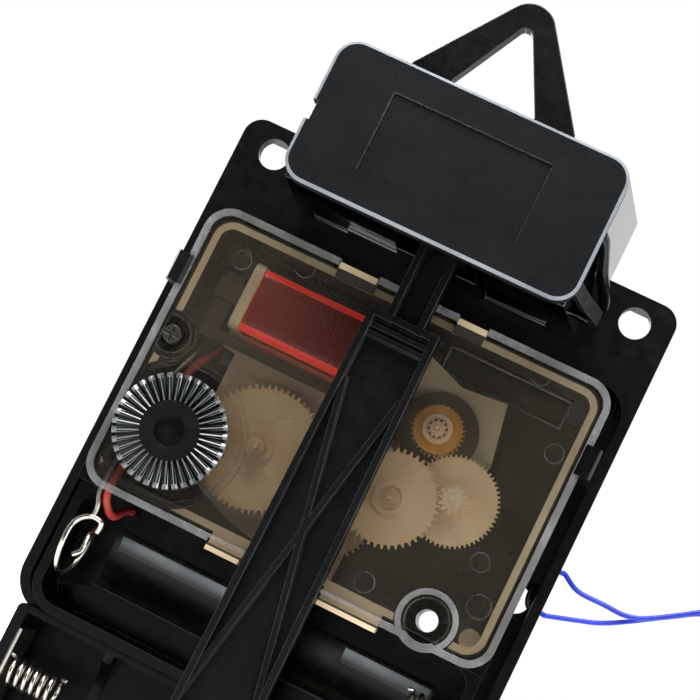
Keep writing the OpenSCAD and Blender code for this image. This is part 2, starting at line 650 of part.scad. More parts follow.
module case_screw() color("#6b6e70") plan() {
    difference() {
        union() {
            disc(case_screw_at, 1.2, [screw_seat_h + cover_t, screw_seat_h + cover_t + 0.9]);
            disc(case_screw_at, 0.65, [case_floor_h + 3, screw_seat_h + cover_t]);
        }
        for (turn = [0, 90])
            translate([case_screw_at[0], case_screw_at[1], screw_seat_h + cover_t + 0.4]) rotate([0, 0, turn])
                translate([-1, -0.2, 0]) cube([2, 0.4, 1]);
    }
}
module centre_bush() color("#c9a24a") plan() {
    ring(hands, hour_pipe_r + play, bush_r, [-bush_l, 0]);
    ring(hands, hour_pipe_r + play, bush_root_r, [0, case_floor_h]);
}

// Wheel train
module seconds_wheel() color("#e8dcc0") plan() {
    disc(hands, seconds_shaft_r, [minute_pipe_end, motion_h + 1]);
    disc(hands, seconds_shaft_r - seat_shoulder, [seconds_end, minute_pipe_end]);
    disc(hands, 0.35, [motion_h + 1, pivot_top_h - 1.2]);
    disc(hands, pivot_r, [pivot_top_h - 1.2, pivot_top_h - 0.1]);
    difference() {
        gear(hands, seconds_drive_teeth[1], seconds_module, 0, [seconds_h, seconds_h + wheel_t]);
        disc(hands, 0.35, [seconds_h - cut, top_h]);
    }
    gear(hands, third_teeth[0], third_module, 0, [seconds_h + wheel_t, top_h + 1]);
}
module third_wheel() color("#e8dcc0") plan() {
    disc(third, pivot_r, [frame_h + 0.4, pivot_top_h - 0.1]);
    gear(third, third_teeth[1], third_module, third_phase, [top_h, top_h + wheel_t]);
    gear(third, centre_teeth[0], centre_module, 0, [centre_h - 0.1, centre_h + wheel_t + 0.1]);
}
module centre_wheel() color("#d8d2c4") plan() {
    difference() {
        gear(hands, centre_teeth[1], centre_module, centre_phase, [centre_h, centre_h + wheel_t]);
        disc(hands, 1 + play, [0, top_h]);
    }
}
module minute_arbor() color("#e8dcc0") plan() {
    difference() {
        union() {
            disc(hands, minute_pipe_r, [hour_pipe_end, hour_h + wheel_t + 0.6]);
            disc(hands, minute_pipe_r - seat_shoulder, [minute_pipe_end, hour_pipe_end]);
            disc(hands, 1.45, [hour_h + wheel_t + 0.6, centre_h - 0.1]);
            disc(hands, 1, [centre_h - 0.1, motion_h + wheel_t + 0.2]);
            gear(hands, motion_teeth[0], motion_module, 0, [motion_h - 0.3, motion_h + wheel_t + 0.2]);
        }
        disc(hands, seconds_shaft_r + play, [minute_pipe_end - cut, motion_h + 3]);
    }
}
module minute_work_wheel() color("#e6dcc4") plan() {
    disc(work, pivot_r + 0.2, [floor_t + 0.6, hour_h]);
    gear(work, motion_teeth[3], hour_module, 0, [hour_h - 0.2, hour_h + wheel_t + 0.2]);
    disc(work, 1, [hour_h + wheel_t, pivot_top_h - 1.2]);
    disc(work, pivot_r, [pivot_top_h - 1.2, pivot_top_h - 0.1]);
    gear(work, motion_teeth[1], motion_module, work_phase, [motion_h, motion_h + wheel_t]);
    ring(work, 0.5, 1.8, [motion_h + wheel_t, motion_h + wheel_t + 0.5]);
}
module hour_wheel() color("#e8dcc0") plan() {
    difference() {
        union() {
            disc(hands, hour_pipe_r, [-bush_l, hour_h]);
            disc(hands, hour_pipe_r - seat_shoulder, [hour_pipe_end, -bush_l]);
            gear(hands, motion_teeth[4], hour_module, hour_phase, [hour_h, hour_h + wheel_t]);
        }
        disc(hands, minute_pipe_r + play, [hour_pipe_end - cut, hour_h + 2]);
    }
}
module drive_wheel() color("#efe3c8") plan() {
    disc(drive, pivot_r, [frame_h + 0.4, pivot_top_h - 0.1]);
    disc(drive, 0.9, [seconds_h - 1.4, top_h + 1.4]);
    gear(drive, seconds_drive_teeth[0], seconds_module, drive_low_phase, [seconds_h, seconds_h + wheel_t]);
    gear(drive, drive_teeth[1], drive_module, 0, [top_h, top_h + wheel_t]);
    ring(drive, 1.6, 2.2, [top_h + wheel_t - 0.2, top_h + wheel_t + 0.4]);
}
module intermediate_wheel() color("#efe3c8") plan() {
    disc(intermediate, pivot_r, [frame_h + 0.4, pivot_top_h - 0.1]);
    disc(intermediate, 0.8, [motion_h - 1, top_h]);
    gear(intermediate, rotor_teeth[1], rotor_module, 0, [motion_h, motion_h + wheel_t]);
    gear(intermediate, drive_teeth[0], drive_module, intermediate_pinion_phase, [top_h - 0.1, top_h + 1]);
}
module rotor() color("#b5893a") plan() {
    disc(rotor_at, pivot_r, [frame_h + 0.4, pivot_top_h - 0.1]);
    gear(rotor_at, rotor_teeth[0], rotor_module, rotor_phase, [motion_h, motion_h + wheel_t]);
    disc(rotor_at, 3.1, [motion_h + wheel_t, motion_h + 2.4]);
    ring(rotor_at, 1.3, 1.9, [motion_h + 2.4, motion_h + 3]);
    gear(rotor_at, rotor_star[0], rotor_star[1], 0, [motion_h + 2.4, motion_h + 3.4]);
}
module rotor_magnet() color("#4a4c50") plan() {
    ring(rotor_at, pivot_r, 2.2, [stator_h[0] - 0.1, motion_h]);
}
module set_knob() color("#2a2c2e") plan() {
    disc(knob, 1, [case_floor_h + 0.3, knob_top_h - 2]);
    gear(knob, motion_teeth[2], motion_module, knob_phase, [motion_h - 0.2, motion_h + wheel_t + 0.2]);
    difference() {
        union() {
            disc(knob, knob_r - 0.5, [knob_low_h, knob_low_h + 1.1]);
            disc(knob, knob_hub_r, [knob_low_h, knob_top_h]);
            intersection() {
                translate([knob[0], knob[1], knob_low_h])
                    cylinder(r1 = knob_r, r2 = knob_r - 0.7, h = knob_top_h - knob_low_h - 0.35);
                for (k = [0 : knob_ribs - 1])
                    translate([knob[0], knob[1], knob_low_h + 0.4]) rotate([0, 0, k * 360 / knob_ribs])
                        linear_extrude(3) polygon([
                            [knob_hub_r - 0.4, -0.19], [knob_r + cut, -0.31], [knob_r + cut, 0.31],
                            [knob_hub_r - 0.4, 0.19]
                        ]);
            }
        }
        disc(knob, 1.95, [knob_top_h - 1.6, knob_top_h + cut]);
    }
}

// Pendulum drive
module box_shell(inset, h) {
    upright_profile([box_low + inset, box_top - inset], [
        [box_at - box_w / 2 + inset, h[0]],
        [box_at + box_w / 2 + box_slant * (box_back - h[0]) / box_depth - inset, h[0]],
        [box_at + box_w / 2 - inset, h[1]],
        [box_at - box_w / 2 + inset, h[1]]
    ]);
}
module at_hanger_feet(play_round, up, h) {
    translate([box_at, 0, 0]) both_sides()
        slab([hanger_half_w - hanger_foot - play_round, hanger_half_w + play_round], up, h);
}
module pendulum_housing() color("#1d1f21") plan() {
    difference() {
        box_shell(0, [rim_h, box_back]);
        box_shell(box_wall, [rim_h + box_wall, box_back + 0.01]);
        slab(arm_gate, [box_low - cut, box_low + box_wall + cut], [15.8, box_back + cut]);
        at_hanger_feet(0.1, [box_top - box_wall - cut, box_top + cut],
                       [box_back - hanger_t - 0.1, box_back + cut]);
        // Shallow steps in the lower wall
        slab([-16.8, -12], [box_low - cut, box_low + 0.35], [9.6, 12]);
        slab([-16.8, -4.9], [box_low - cut, box_low + 0.35], [12, 19.2]);
        slab([7.6, 16], [box_low - cut, box_low + 0.35], [9.6, 19.2]);
    }
    ring(pivot, pin_r, 2.2, [rim_h + box_wall, pivot_h - arm_t / 2 - 0.2]);
    for (x = [-9, 10.6])
        disc([x, box_low + 4.4], 1.2, [rim_h + box_wall, drive_board_h[0]]);
    // Nub that the side latch holds
    upright_profile([33.6, 36.2], [
        [box_at + box_w / 2 + 1, 19], [box_at + box_w / 2 + 3.1, 17.6], [box_at + box_w / 2 + 3.1, 16.4],
        [box_at + box_w / 2 + 1.6, 15.4]
    ]);
}
module pendulum_lid() color("#232527") plan() {
    side = box_w / 2 + 0.8;
    edge = 0.4;
    corner_r = 3;
    difference() {
        hull() {
            plate([box_at - side, box_at + side], [box_low - 0.3, box_top + 0.4], corner_r,
                  [box_back, box_back + lid_t - edge], $fn = 32);
            plate([box_at - side + edge, box_at + side - edge], [box_low - 0.3 + edge, box_top + 0.4 - edge],
                  corner_r - edge, [box_back, box_back + lid_t], $fn = 32);
        }
        // Plain sunk panel
        slab([-11.4, 9.4], [36.1, 46.6], [box_back + lid_t - 0.35, box_back + lid_t + cut]);
        // Grip notch
        slab([box_at - side - cut, box_at - side + 0.7], [39.2, 41.8],
             [box_back - cut, box_back + lid_t + cut]);
    }
    // Rim that locates the lid in the box
    difference() {
        slab([box_at - box_w / 2 + box_wall + 0.1, box_at + box_w / 2 - box_wall - 0.1],
             [box_low + box_wall + 0.1, box_top - box_wall - 0.1], [box_back - 1.2, box_back]);
        slab([box_at - box_w / 2 + box_wall + 0.9, box_at + box_w / 2 - box_wall - 0.9],
             [box_low + box_wall + 0.9, box_top - box_wall - 0.9], [box_back - 2, box_back]);
        slab(arm_gate, [box_low, box_low + 3], [box_back - 2, box_back]);
        at_hanger_feet(0.2, [box_top - 4, box_top], [box_back - 2, box_back]);
    }
    ring(pivot, pin_r, 1.8, [arm_back_h + 0.2, box_back]);
    // Side latch over the nub of the box
    upright_profile([34, 35.8], [
        [box_at + box_w / 2 + 0.1, box_back + 0.1], [box_at + side, box_back + 0.1],
        [box_at + box_w / 2 + 2.4, 22], [box_at + box_w / 2 + 4.3, 16.6], [box_at + box_w / 2 + 3.4, 14.4],
        [box_at + box_w / 2 + 3.4, 18], [box_at + box_w / 2 + 1.5, 21.8]
    ]);
}
module hanger() color("#1a1c1e") plan() {
    foot = box_top - box_wall - 1.6;
    shoulder = box_top + 1.2;
    round_at = hanger_top;
    inner_low = hanger_half_w - hanger_foot;
    translate([0, 0, box_back - hanger_t]) linear_extrude(hanger_t) difference() {
        union() {
            polygon([
                [box_at - hanger_half_w, foot], [box_at + hanger_half_w, foot],
                [box_at + hanger_half_w, shoulder],
                round_at + polar(hanger_round_r, 37), round_at, round_at + polar(hanger_round_r, 143),
                [box_at - hanger_half_w, shoulder]
            ]);
            translate(round_at) circle(r = hanger_round_r);
        }
        polygon([
            [box_at - inner_low, foot - cut], [box_at + inner_low, foot - cut],
            [box_at + inner_low, shoulder], round_at + [0.7, -0.5], round_at + [0.4, -0.2],
            round_at + [-0.4, -0.2], round_at + [-0.7, -0.5],
            [box_at - inner_low, shoulder]
        ]);
    }
}
module drive_board() color("#2f5b3a") plan() {
    slab([-13, 14.6], [box_low + 1.6, box_low + 7.4], drive_board_h);
}
module drive_bobbin() color("#d8d4cc") plan() {
    ring(drive_coil_at, 1, 2.2, [drive_board_h[1], drive_coil_h[1]]);
    ring(drive_coil_at, 2.1, drive_coil_r, [drive_board_h[1], drive_board_h[1] + 0.6]);
    ring(drive_coil_at, 2.1, drive_coil_r, [drive_coil_h[1] - 0.6, drive_coil_h[1]]);
}
module drive_winding() color("#b3622c") plan() {
    ring(drive_coil_at, 2.2, drive_coil_r - 0.3, [drive_board_h[1] + 0.6, drive_coil_h[1] - 0.6]);
}
module pivot_pin() color("silver") plan() {
    disc(pivot, pin_r, [rim_h + box_wall, box_back - 2]);
}

// The swinging arm: a thin web with side flanges, cross ribs and two long crossing ribs
module arm_outline(inset) {
    low = pivot[1] - arm_drop + 10;
    polygon([
        [pivot[0] - arm_w_top / 2 + inset, arm_top - inset],
        [pivot[0] + arm_w_top / 2 - inset, arm_top - inset],
        [pivot[0] + arm_w_low / 2 - inset, -30], [pivot[0] + arm_w_low / 2 - inset, low + 4],
        [pivot[0] + 2.5 - inset, low + inset], [pivot[0] - 2.5 + inset, low + inset],
        [pivot[0] - arm_w_low / 2 + inset, low + 4], [pivot[0] - arm_w_low / 2 + inset, -30]
    ]);
}
module rib(from, to, w, h) {
    run = to - from;
    translate([from[0], from[1], h[0]]) rotate([0, 0, atan2(run[1], run[0])])
        translate([0, -w / 2, 0]) cube([norm(run), w, h[1] - h[0]]);
}
module pendulum_arm() color("#222426") plan() {
    web_t = 1.2;
    web_h = [arm_back_h - arm_t, arm_back_h - arm_t + web_t];
    hook = [pivot[0], pivot[1] - arm_drop];
    translate([0, 0, web_h[0]]) linear_extrude(web_t) arm_outline(0);
    translate([0, 0, web_h[0]]) linear_extrude(arm_t) difference() {
        arm_outline(0);
        arm_outline(0.9);
    }
    // Long crossing ribs, one pair above the other
    intersection() {
        translate([0, 0, web_h[0]]) linear_extrude(arm_t) arm_outline(0);
        union() {
            for (pair = [[14.5, -30], [-30, -60]])
                for (side = [-1, 1])
                    rib(pivot + [side * 3.8, pair[0] - pivot[1]], pivot + [-side * 5, pair[1] - pivot[1]],
                        0.8, [web_h[0], arm_back_h - 0.4]);
            for (up = [21.7, 20.6])
                slab([pivot[0] - 5, pivot[0] + 5], [up - 0.3, up + 0.3], [web_h[0], arm_back_h - 0.5]);
        }
    }
    // Neck and eye at the pivot
    slab([pivot[0] - 2.5, pivot[0] + 2.5], [arm_top - 1, pivot[1] - 1.5], web_h);
    for (side = [-2.5, 1.6])
        slab([pivot[0] + side, pivot[0] + side + 0.9], [arm_top - 1, pivot[1] - 1.5], [web_h[0], arm_back_h]);
    ring(pivot, pin_r + play, 2.4, [web_h[0], arm_back_h]);
    // Hook for the pendulum rod
    difference() {
        union() {
            slab([hook[0] - 1.6, hook[0] + 1.6], [hook[1], hook[1] + 11], web_h);
            disc(hook, 3.4, web_h);
        }
        disc(hook, 1.9, [web_h[0] - cut, web_h[1] + cut]);
        slab([hook[0], hook[0] + 4], [hook[1] + 0.4, hook[1] + 2], [web_h[0] - cut, web_h[1] + cut]);
    }
}
module arm_magnet() color("#5a5c60") plan() {
    disc(drive_coil_at, 3, [drive_coil_h[1] + 0.8, arm_back_h - arm_t]);
}

// Contacts and leads
module helix_spring(x, up, h, r, turns) {
    run = x[1] - x[0];
    lead = 2 * spring_wire_r;
    way = sign(run);
    points = concat(
        [[x[0], up + r, h], [x[0] + way * lead, up + r, h]],
        [for (s = [1 : turns * 8])
            [x[0] + way * lead + (run - 2 * way * lead) * s / (turns * 8),
             up + r * cos(s * 45), h + r * sin(s * 45)]],
        [[x[1], up + r, h]]
    );
    echo(least_gap_of_the_spring = least_gap(points, spring_wire_r, 6));
    tube(points, spring_wire_r, 6, [0.3, 1, 0.2]);
}
module time_spring() color("silver") plan() {
    helix_spring([case_in, case_in - time_spring_l], bay_up, bay_axis_h, time_spring_r, time_spring_turns);
}
module time_wire_contact() color("#e6e0cc") plan() {
    tube(smooth(time_contact_route, 2), 0.36, 6, [1, 0.2, 0.15]);
}
module music_springs() color("silver") plan() {
    seat = lower_half_w - rim_t - contact_t;
    helix_spring([-seat, -seat + music_spring_l], music_axis_up[0], music_cell_h, music_spring_r,
                 music_spring_turns);
    helix_spring([seat, seat - music_spring_l], music_axis_up[1], music_cell_h, music_spring_r,
                 music_spring_turns);
}
module music_plate_left() color("#c8c9c6") plan() {
    x = -lower_half_w + rim_t;
    for (bay = music_axis_up)
        slab([x, x + contact_t], [bay - 5, bay + 5.5], [floor_t + 2.4, floor_t + 10.4]);
    slab([x, x + contact_t], [music_axis_up[1] + 5, music_axis_up[0] - 4.9],
         [bay_wall_h - 1.4, bay_wall_h - 0.6]);
}
module music_plates_right() color("#c8c9c6") plan() {
    x = lower_half_w - rim_t;
    for (bay = music_axis_up)
        slab([x - contact_t, x], [bay - 5, bay + 5.5], [floor_t + 2.4, floor_t + 10.4]);
}
module red_lead() color("#c0392f") plan() {
    tube(smooth(red_lead_route, 2), 0.5, 8, [1, 0.1, 0.05]);
}
module bare_lead() color("#8d8a80") plan() {
    tube(smooth(bare_lead_route, 2), 0.3, 8, [1, 0.1, 0.05]);
}
module music_board() color("#2f5b3a") plan() {
    slab([-22, 22], [board_up - 3.6, board_up + 3.2], music_board_h);
}
module music_chip() color("#141414") plan() {
    disc([4, board_up], 2.6, [music_board_h[0] - 0.8, music_board_h[0]]);
}

// Speaker wires
module wire(points) color("#1f46c8") plan() {
    tube(points, wire_r, 8, [0.02, 0.01, 1]);
}
module speaker_leads_inside() {
    wire(smooth(inside_upper_route, 2));
    wire(smooth(inside_lower_route, 2));
}
module speaker_wire_upper() wire(smooth(speaker_upper_route, 2));
module speaker_wire_lower() wire(smooth(speaker_lower_route, 2));
module wire_tail_upper() wire(smooth(tail_upper_route, 2));
module wire_tail_lower() wire(smooth(tail_lower_route, 2));
module wire_coil(at) color("#1f46c8") plan() {
    points = coil_points(at);
    echo(least_gap_of_the_coil = least_gap(points, wire_r, 8));
    tube(points, wire_r, 6, [0.02, 0.01, 1]);
}
module wire_coil_upper() wire_coil(coil_upper_at);
module wire_coil_lower() wire_coil(coil_lower_at);
module tie(at) {
    low = at[1] + coil_first_r + 0.05;
    high = at[1] + coil_first_r + coil_pitch * 3 - 0.1;
    bottom = at[2] - wire_r - 0.1;
    top = at[2] + coil_pitch + wire_r + 0.1;
    difference() {
        slab([at[0] - 0.9, at[0] + 0.9], [low - 0.5, high + 0.5], [bottom - 0.5, top + 0.5]);
        slab([at[0] - 1, at[0] + 1], [low, high], [bottom, top]);
    }
}
module wire_ties() color("#202020") plan() {
    tie(coil_upper_at);
    tie(coil_lower_at);
}
module speaker_plug() color("#ece8dc") plan() {
    difference() {
        slab([plug_at[0], plug_at[0] + 6], [plug_at[1] - 2.4, plug_at[1] + 2.4],
             [plug_at[2] - 1.6, plug_at[2] + 1.8]);
        for (side = [-1, 1])
            slab([plug_at[0] + 3.5, plug_at[0] + 7],
                 [plug_at[1] + side * plug_pitch / 2 - 0.4, plug_at[1] + side * plug_pitch / 2 + 0.4],
                 [plug_at[2] - 0.4, plug_at[2] + 0.4]);
    }
    slab([plug_at[0] + 1, plug_at[0] + 5], [plug_at[1] - 0.6, plug_at[1] + 0.6],
         [plug_at[2] + 1.8, plug_at[2] + 2.3]);
}

chassis();
movement_case();
movement_cover();
train_frame();
stator();
coil_core();
motor_bobbin();
motor_winding();
circuit_board();
quartz_crystal();
chip();
centre_bush();
case_screw();
pendulum_housing();
pendulum_lid();
hanger();
drive_bobbin();
drive_winding();
drive_board();
pivot_pin();
pendulum_arm();
arm_magnet();
rotor();
rotor_magnet();
intermediate_wheel();
drive_wheel();
seconds_wheel();
third_wheel();
centre_wheel();
minute_arbor();
minute_work_wheel();
hour_wheel();
set_knob();
time_wire_contact();
time_spring();
music_plate_left();
music_springs();
music_plates_right();
red_lead();
bare_lead();
music_board();
music_chip();
speaker_leads_inside();
speaker_wire_upper();
speaker_wire_lower();
wire_coil_upper();
wire_coil_lower();
wire_tail_upper();
wire_tail_lower();
wire_ties();
speaker_plug();
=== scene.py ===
import json
import math

import bmesh
import bpy
from mathutils import Matrix, Vector

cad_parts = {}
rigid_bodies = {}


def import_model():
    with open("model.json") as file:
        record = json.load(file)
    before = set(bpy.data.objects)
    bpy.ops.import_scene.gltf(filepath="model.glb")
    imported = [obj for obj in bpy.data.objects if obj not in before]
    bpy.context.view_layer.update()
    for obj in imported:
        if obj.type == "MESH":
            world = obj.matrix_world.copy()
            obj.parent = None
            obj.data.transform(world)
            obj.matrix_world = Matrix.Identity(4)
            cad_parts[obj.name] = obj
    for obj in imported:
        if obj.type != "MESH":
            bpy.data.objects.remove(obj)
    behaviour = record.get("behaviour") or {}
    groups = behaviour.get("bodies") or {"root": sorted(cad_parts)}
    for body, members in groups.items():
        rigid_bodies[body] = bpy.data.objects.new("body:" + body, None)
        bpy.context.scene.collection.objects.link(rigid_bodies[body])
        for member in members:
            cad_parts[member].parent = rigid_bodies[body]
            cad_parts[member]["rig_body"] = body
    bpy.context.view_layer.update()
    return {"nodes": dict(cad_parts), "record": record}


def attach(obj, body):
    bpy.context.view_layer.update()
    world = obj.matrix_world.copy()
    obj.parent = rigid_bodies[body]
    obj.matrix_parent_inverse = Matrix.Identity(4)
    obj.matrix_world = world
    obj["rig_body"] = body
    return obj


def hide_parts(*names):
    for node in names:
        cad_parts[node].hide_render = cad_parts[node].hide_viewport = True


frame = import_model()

mm = 0.001
print("frame loaded:", len(frame["nodes"]), "nodes")


# camera at the photograph's angle, rolled as the movement lies turned in it
# place and aim are in mm, the clip distances in metres
cameraView = {
    "place": (25.25, -255.62, -8.07), "aim": (-4.39, -15.0, 18.13), "roll": -26.4, "lens": 100.18,
    "clipStart": 0.01, "clipEnd": 20,
}


def makeCamera(view):
    data = bpy.data.cameras.new("photoCamera")
    data.lens = view["lens"]
    data.clip_start = view["clipStart"]
    data.clip_end = view["clipEnd"]
    camera = bpy.data.objects.new("photoCamera", data)
    bpy.context.scene.collection.objects.link(camera)
    place = Vector(view["place"]) * mm
    look = (Vector(view["aim"]) * mm - place).normalized()
    roll = Matrix.Rotation(math.radians(-view["roll"]), 3, "Z")
    turn = look.to_track_quat("-Z", "Y").to_matrix() @ roll
    camera.matrix_world = Matrix.Translation(place) @ turn.to_4x4()
    bpy.context.scene.camera = camera


makeCamera(cameraView)
bpy.context.scene.view_settings.view_transform = "Standard"


def inFrame(point):
    # plan coordinates to the shared frame, in metres
    return Vector((point[0], -point[2], point[1])) * mm


def colour(hexValue):
    # colours are written as seen on screen
    parts = [int(hexValue[k:k + 2], 16) / 255 for k in (1, 3, 5)]
    linear = [p / 12.92 if p <= 0.04045 else ((p + 0.055) / 1.055) ** 2.4 for p in parts]
    return (*linear, 1.0)


def addNode(owner, kind, values=None, links=None, stops=()):
    # owner is a material or the world, values are the node's settings and the numbers of its inputs
    # stops are a ramp's places and colours
    tree = owner.node_tree
    node = tree.nodes.new(kind)
    for key, value in (values or {}).items():
        if isinstance(key, str) and hasattr(node, key):
            setattr(node, key, value)
        else:
            node.inputs[key].default_value = value
    for key, source in (links or {}).items():
        tree.links.new(source, node.inputs[key])
    for k, (place, shade) in enumerate(stops):
        node.color_ramp.elements[k].position = place
        node.color_ramp.elements[k].color = shade
    return node


def newMaterial(name):
    material = bpy.data.materials.new(name)
    material.use_nodes = True
    shader = material.node_tree.nodes["Principled BSDF"]
    place = addNode(material, "ShaderNodeTexCoord").outputs["Object"]
    return material, shader, place


def setShader(shader, values):
    for key, value in values.items():
        shader.inputs[key].default_value = value


def linkShader(material, shader, sources):
    for key, source in sources.items():
        material.node_tree.links.new(source, shader.inputs[key])


def tintStops(look, span):
    # dark up to the start of the span, pale from its end
    return [(span[0], colour(look["dark"])), (span[1], colour(look["pale"]))]


def shadeWhere(material, bright, shade):
    # the material's own colour where bright is 1, and the shade where it is 0
    shader = material.node_tree.nodes["Principled BSDF"]
    own = shader.inputs["Base Color"].links[0].from_socket
    # the mix node has its colours at these places among its inputs and outputs
    first, second, mixed = 6, 7, 2
    mix = addNode(material, "ShaderNodeMix", {"data_type": "RGBA", first: colour(shade)},
                  {"Factor": bright, second: own})
    linkShader(material, shader, {"Base Color": mix.outputs[mixed]})


# what a moulding has unless its own look says otherwise
mouldedUsual = {
    "ior": 1.53, "shine": 0.5, "coat": 0.0, "coatRough": 0.12,
    "flowMm": 9, "flowDetail": 3.0, "flowSpan": (0.35, 0.7),
    "wearMm": 1.6, "wearDetail": 5.0, "wearSpan": (0.3, 0.75), "grainDetail": 2.0, "grainDepth": 0.25,
}


def mouldedPlastic(name, look):
    # injection moulded: an even colour with faint flow marks, and the fine eroded grain of the mould
    look = {**mouldedUsual, **look}
    material, shader, place = newMaterial(name)
    setShader(shader, {
        "IOR": look["ior"], "Specular IOR Level": look["shine"],
        "Coat Weight": look["coat"], "Coat Roughness": look["coatRough"],
    })
    flow = addNode(material, "ShaderNodeTexNoise", {
        "Scale": 1 / (look["flowMm"] * mm), "Detail": look["flowDetail"],
    }, {"Vector": place})
    tint = addNode(material, "ShaderNodeValToRGB", links={"Fac": flow.outputs["Fac"]},
                   stops=tintStops(look, look["flowSpan"]))
    wear = addNode(material, "ShaderNodeTexNoise", {
        "Scale": 1 / (look["wearMm"] * mm), "Detail": look["wearDetail"],
    }, {"Vector": place})
    rough = addNode(material, "ShaderNodeMapRange", {
        "From Min": look["wearSpan"][0], "From Max": look["wearSpan"][1],
        "To Min": look["smooth"], "To Max": look["rough"],
    }, {"Value": wear.outputs["Fac"]})
    grain = addNode(material, "ShaderNodeTexNoise", {
        "Scale": 1 / (look["grainMm"] * mm), "Detail": look["grainDetail"],
    }, {"Vector": place})
    bump = addNode(material, "ShaderNodeBump", {
        "Strength": look["bump"], "Distance": look["grainMm"] * mm * look["grainDepth"],
    }, {"Height": grain.outputs["Fac"]})
    linkShader(material, shader, {
        "Base Color": tint.outputs["Color"], "Roughness": rough.outputs["Result"],
        "Normal": bump.outputs["Normal"],
    })
    return material


metalUsual = {"lineDetail": 3.0, "bump": 0.2, "depthMm": 0.02}


def metalSurface(name, look):
    # rolled or drawn metal: bright, with fine lines along the way that it was worked
    look = {**metalUsual, **look}
    material, shader, place = newMaterial(name)
    setShader(shader, {"Base Color": colour(look["colour"]), "Metallic": 1.0})
    stretch = addNode(material, "ShaderNodeMapping", {"Scale": look["lines"]}, {"Vector": place})
    lines = addNode(material, "ShaderNodeTexNoise", {
        "Scale": 1 / (look["lineMm"] * mm), "Detail": look["lineDetail"],
    }, {"Vector": stretch.outputs["Vector"]})
    rough = addNode(material, "ShaderNodeMapRange", {"To Min": look["smooth"], "To Max": look["rough"]},
                    {"Value": lines.outputs["Fac"]})
    bump = addNode(material, "ShaderNodeBump", {"Strength": look["bump"], "Distance": look["depthMm"] * mm},
                   {"Height": lines.outputs["Fac"]})
    linkShader(material, shader, {
        "Roughness": rough.outputs["Result"], "Normal": bump.outputs["Normal"],
    })
    return material


styreneUsual = {
    "ior": 1.59, "rough": 0.12, "coat": 0.3, "coatRough": 0.05,
    "cloudMm": 7, "cloudDetail": 6.0, "cloudRough": 0.65, "cloudSpan": (0.3, 0.72),
    "facingBlend": 0.25, "slantedAlpha": 0.9,
    "rippleMm": 2.4, "rippleDetail": 2.0, "bump": 0.12, "depthMm": 0.05,
}


def smokyStyrene(name, look):
    # clear polystyrene with a smoky tint: it hides more where its faces are seen at a slant
    look = {**styreneUsual, **look}
    material, shader, place = newMaterial(name)
    setShader(shader, {
        "IOR": look["ior"], "Roughness": look["rough"],
        "Coat Weight": look["coat"], "Coat Roughness": look["coatRough"],
    })
    cloud = addNode(material, "ShaderNodeTexNoise", {
        "Scale": 1 / (look["cloudMm"] * mm), "Detail": look["cloudDetail"], "Roughness": look["cloudRough"],
    }, {"Vector": place})
    tint = addNode(material, "ShaderNodeValToRGB", links={"Fac": cloud.outputs["Fac"]},
                   stops=tintStops(look, look["cloudSpan"]))
    facing = addNode(material, "ShaderNodeLayerWeight", {"Blend": look["facingBlend"]})
    body = addNode(material, "ShaderNodeMapRange", {
        "To Min": look["seeThrough"], "To Max": look["slantedAlpha"],
    }, {"Value": facing.outputs["Facing"]})
    ripple = addNode(material, "ShaderNodeTexNoise", {
        "Scale": 1 / (look["rippleMm"] * mm), "Detail": look["rippleDetail"],
    }, {"Vector": place})
    bump = addNode(material, "ShaderNodeBump", {"Strength": look["bump"], "Distance": look["depthMm"] * mm},
                   {"Height": ripple.outputs["Fac"]})
    linkShader(material, shader, {
        "Base Color": tint.outputs["Color"], "Alpha": body.outputs["Result"],
        "Normal": bump.outputs["Normal"],
    })
    material.surface_render_method = "BLENDED"
    return material


def shadedAcetal(name, look):
    # the plate, the rim of the wall and the tips of the snap tabs catch the light
    # the wall between them lies in shade
    material = mouldedPlastic(name, look)
    place = addNode(material, "ShaderNodeTexCoord").outputs["Object"]
    split = addNode(material, "ShaderNodeSeparateXYZ", links={"Vector": place}).outputs
    height = addNode(material, "ShaderNodeMath", {"operation": "MULTIPLY", 1: -1.0}, {0: split["Y"]})
    low = addNode(material, "ShaderNodeMath", {"operation": "LESS_THAN", 1: look["plateTop"] * mm},
                  {0: height.outputs[0]})
    right = addNode(material, "ShaderNodeMath", {"operation": "GREATER_THAN", 1: look["plateFrom"] * mm},
                    {0: split["X"]})
    under = addNode(material, "ShaderNodeMath", {"operation": "LESS_THAN", 1: look["plateUnder"] * mm},
                    {0: split["Z"]})
    side = addNode(material, "ShaderNodeMath", {"operation": "MULTIPLY"},
                   {0: right.outputs[0], 1: under.outputs[0]})
    plate = addNode(material, "ShaderNodeMath", {"operation": "MULTIPLY"},
                    {0: low.outputs[0], 1: side.outputs[0]})
    rim = addNode(material, "ShaderNodeMath", {
        "operation": "COMPARE", 1: look["rimAt"] * mm, 2: look["rimHalf"] * mm,
    }, {0: height.outputs[0]})
    inner = addNode(material, "ShaderNodeMath", {
        "operation": "COMPARE", 1: look["middleUp"] * mm, 2: look["tipAway"] * mm,
    }, {0: split["Z"]})
    tip = addNode(material, "ShaderNodeMath", {"operation": "SUBTRACT", 0: 1.0}, {1: inner.outputs[0]})
    either = addNode(material, "ShaderNodeMath", {"operation": "MAXIMUM"},
                     {0: plate.outputs[0], 1: rim.outputs[0]})
    bright = addNode(material, "ShaderNodeMath", {"operation": "MAXIMUM"},
                     {0: either.outputs[0], 1: tip.outputs[0]})
    shadeWhere(material, bright.outputs[0], look["shade"])
    return material


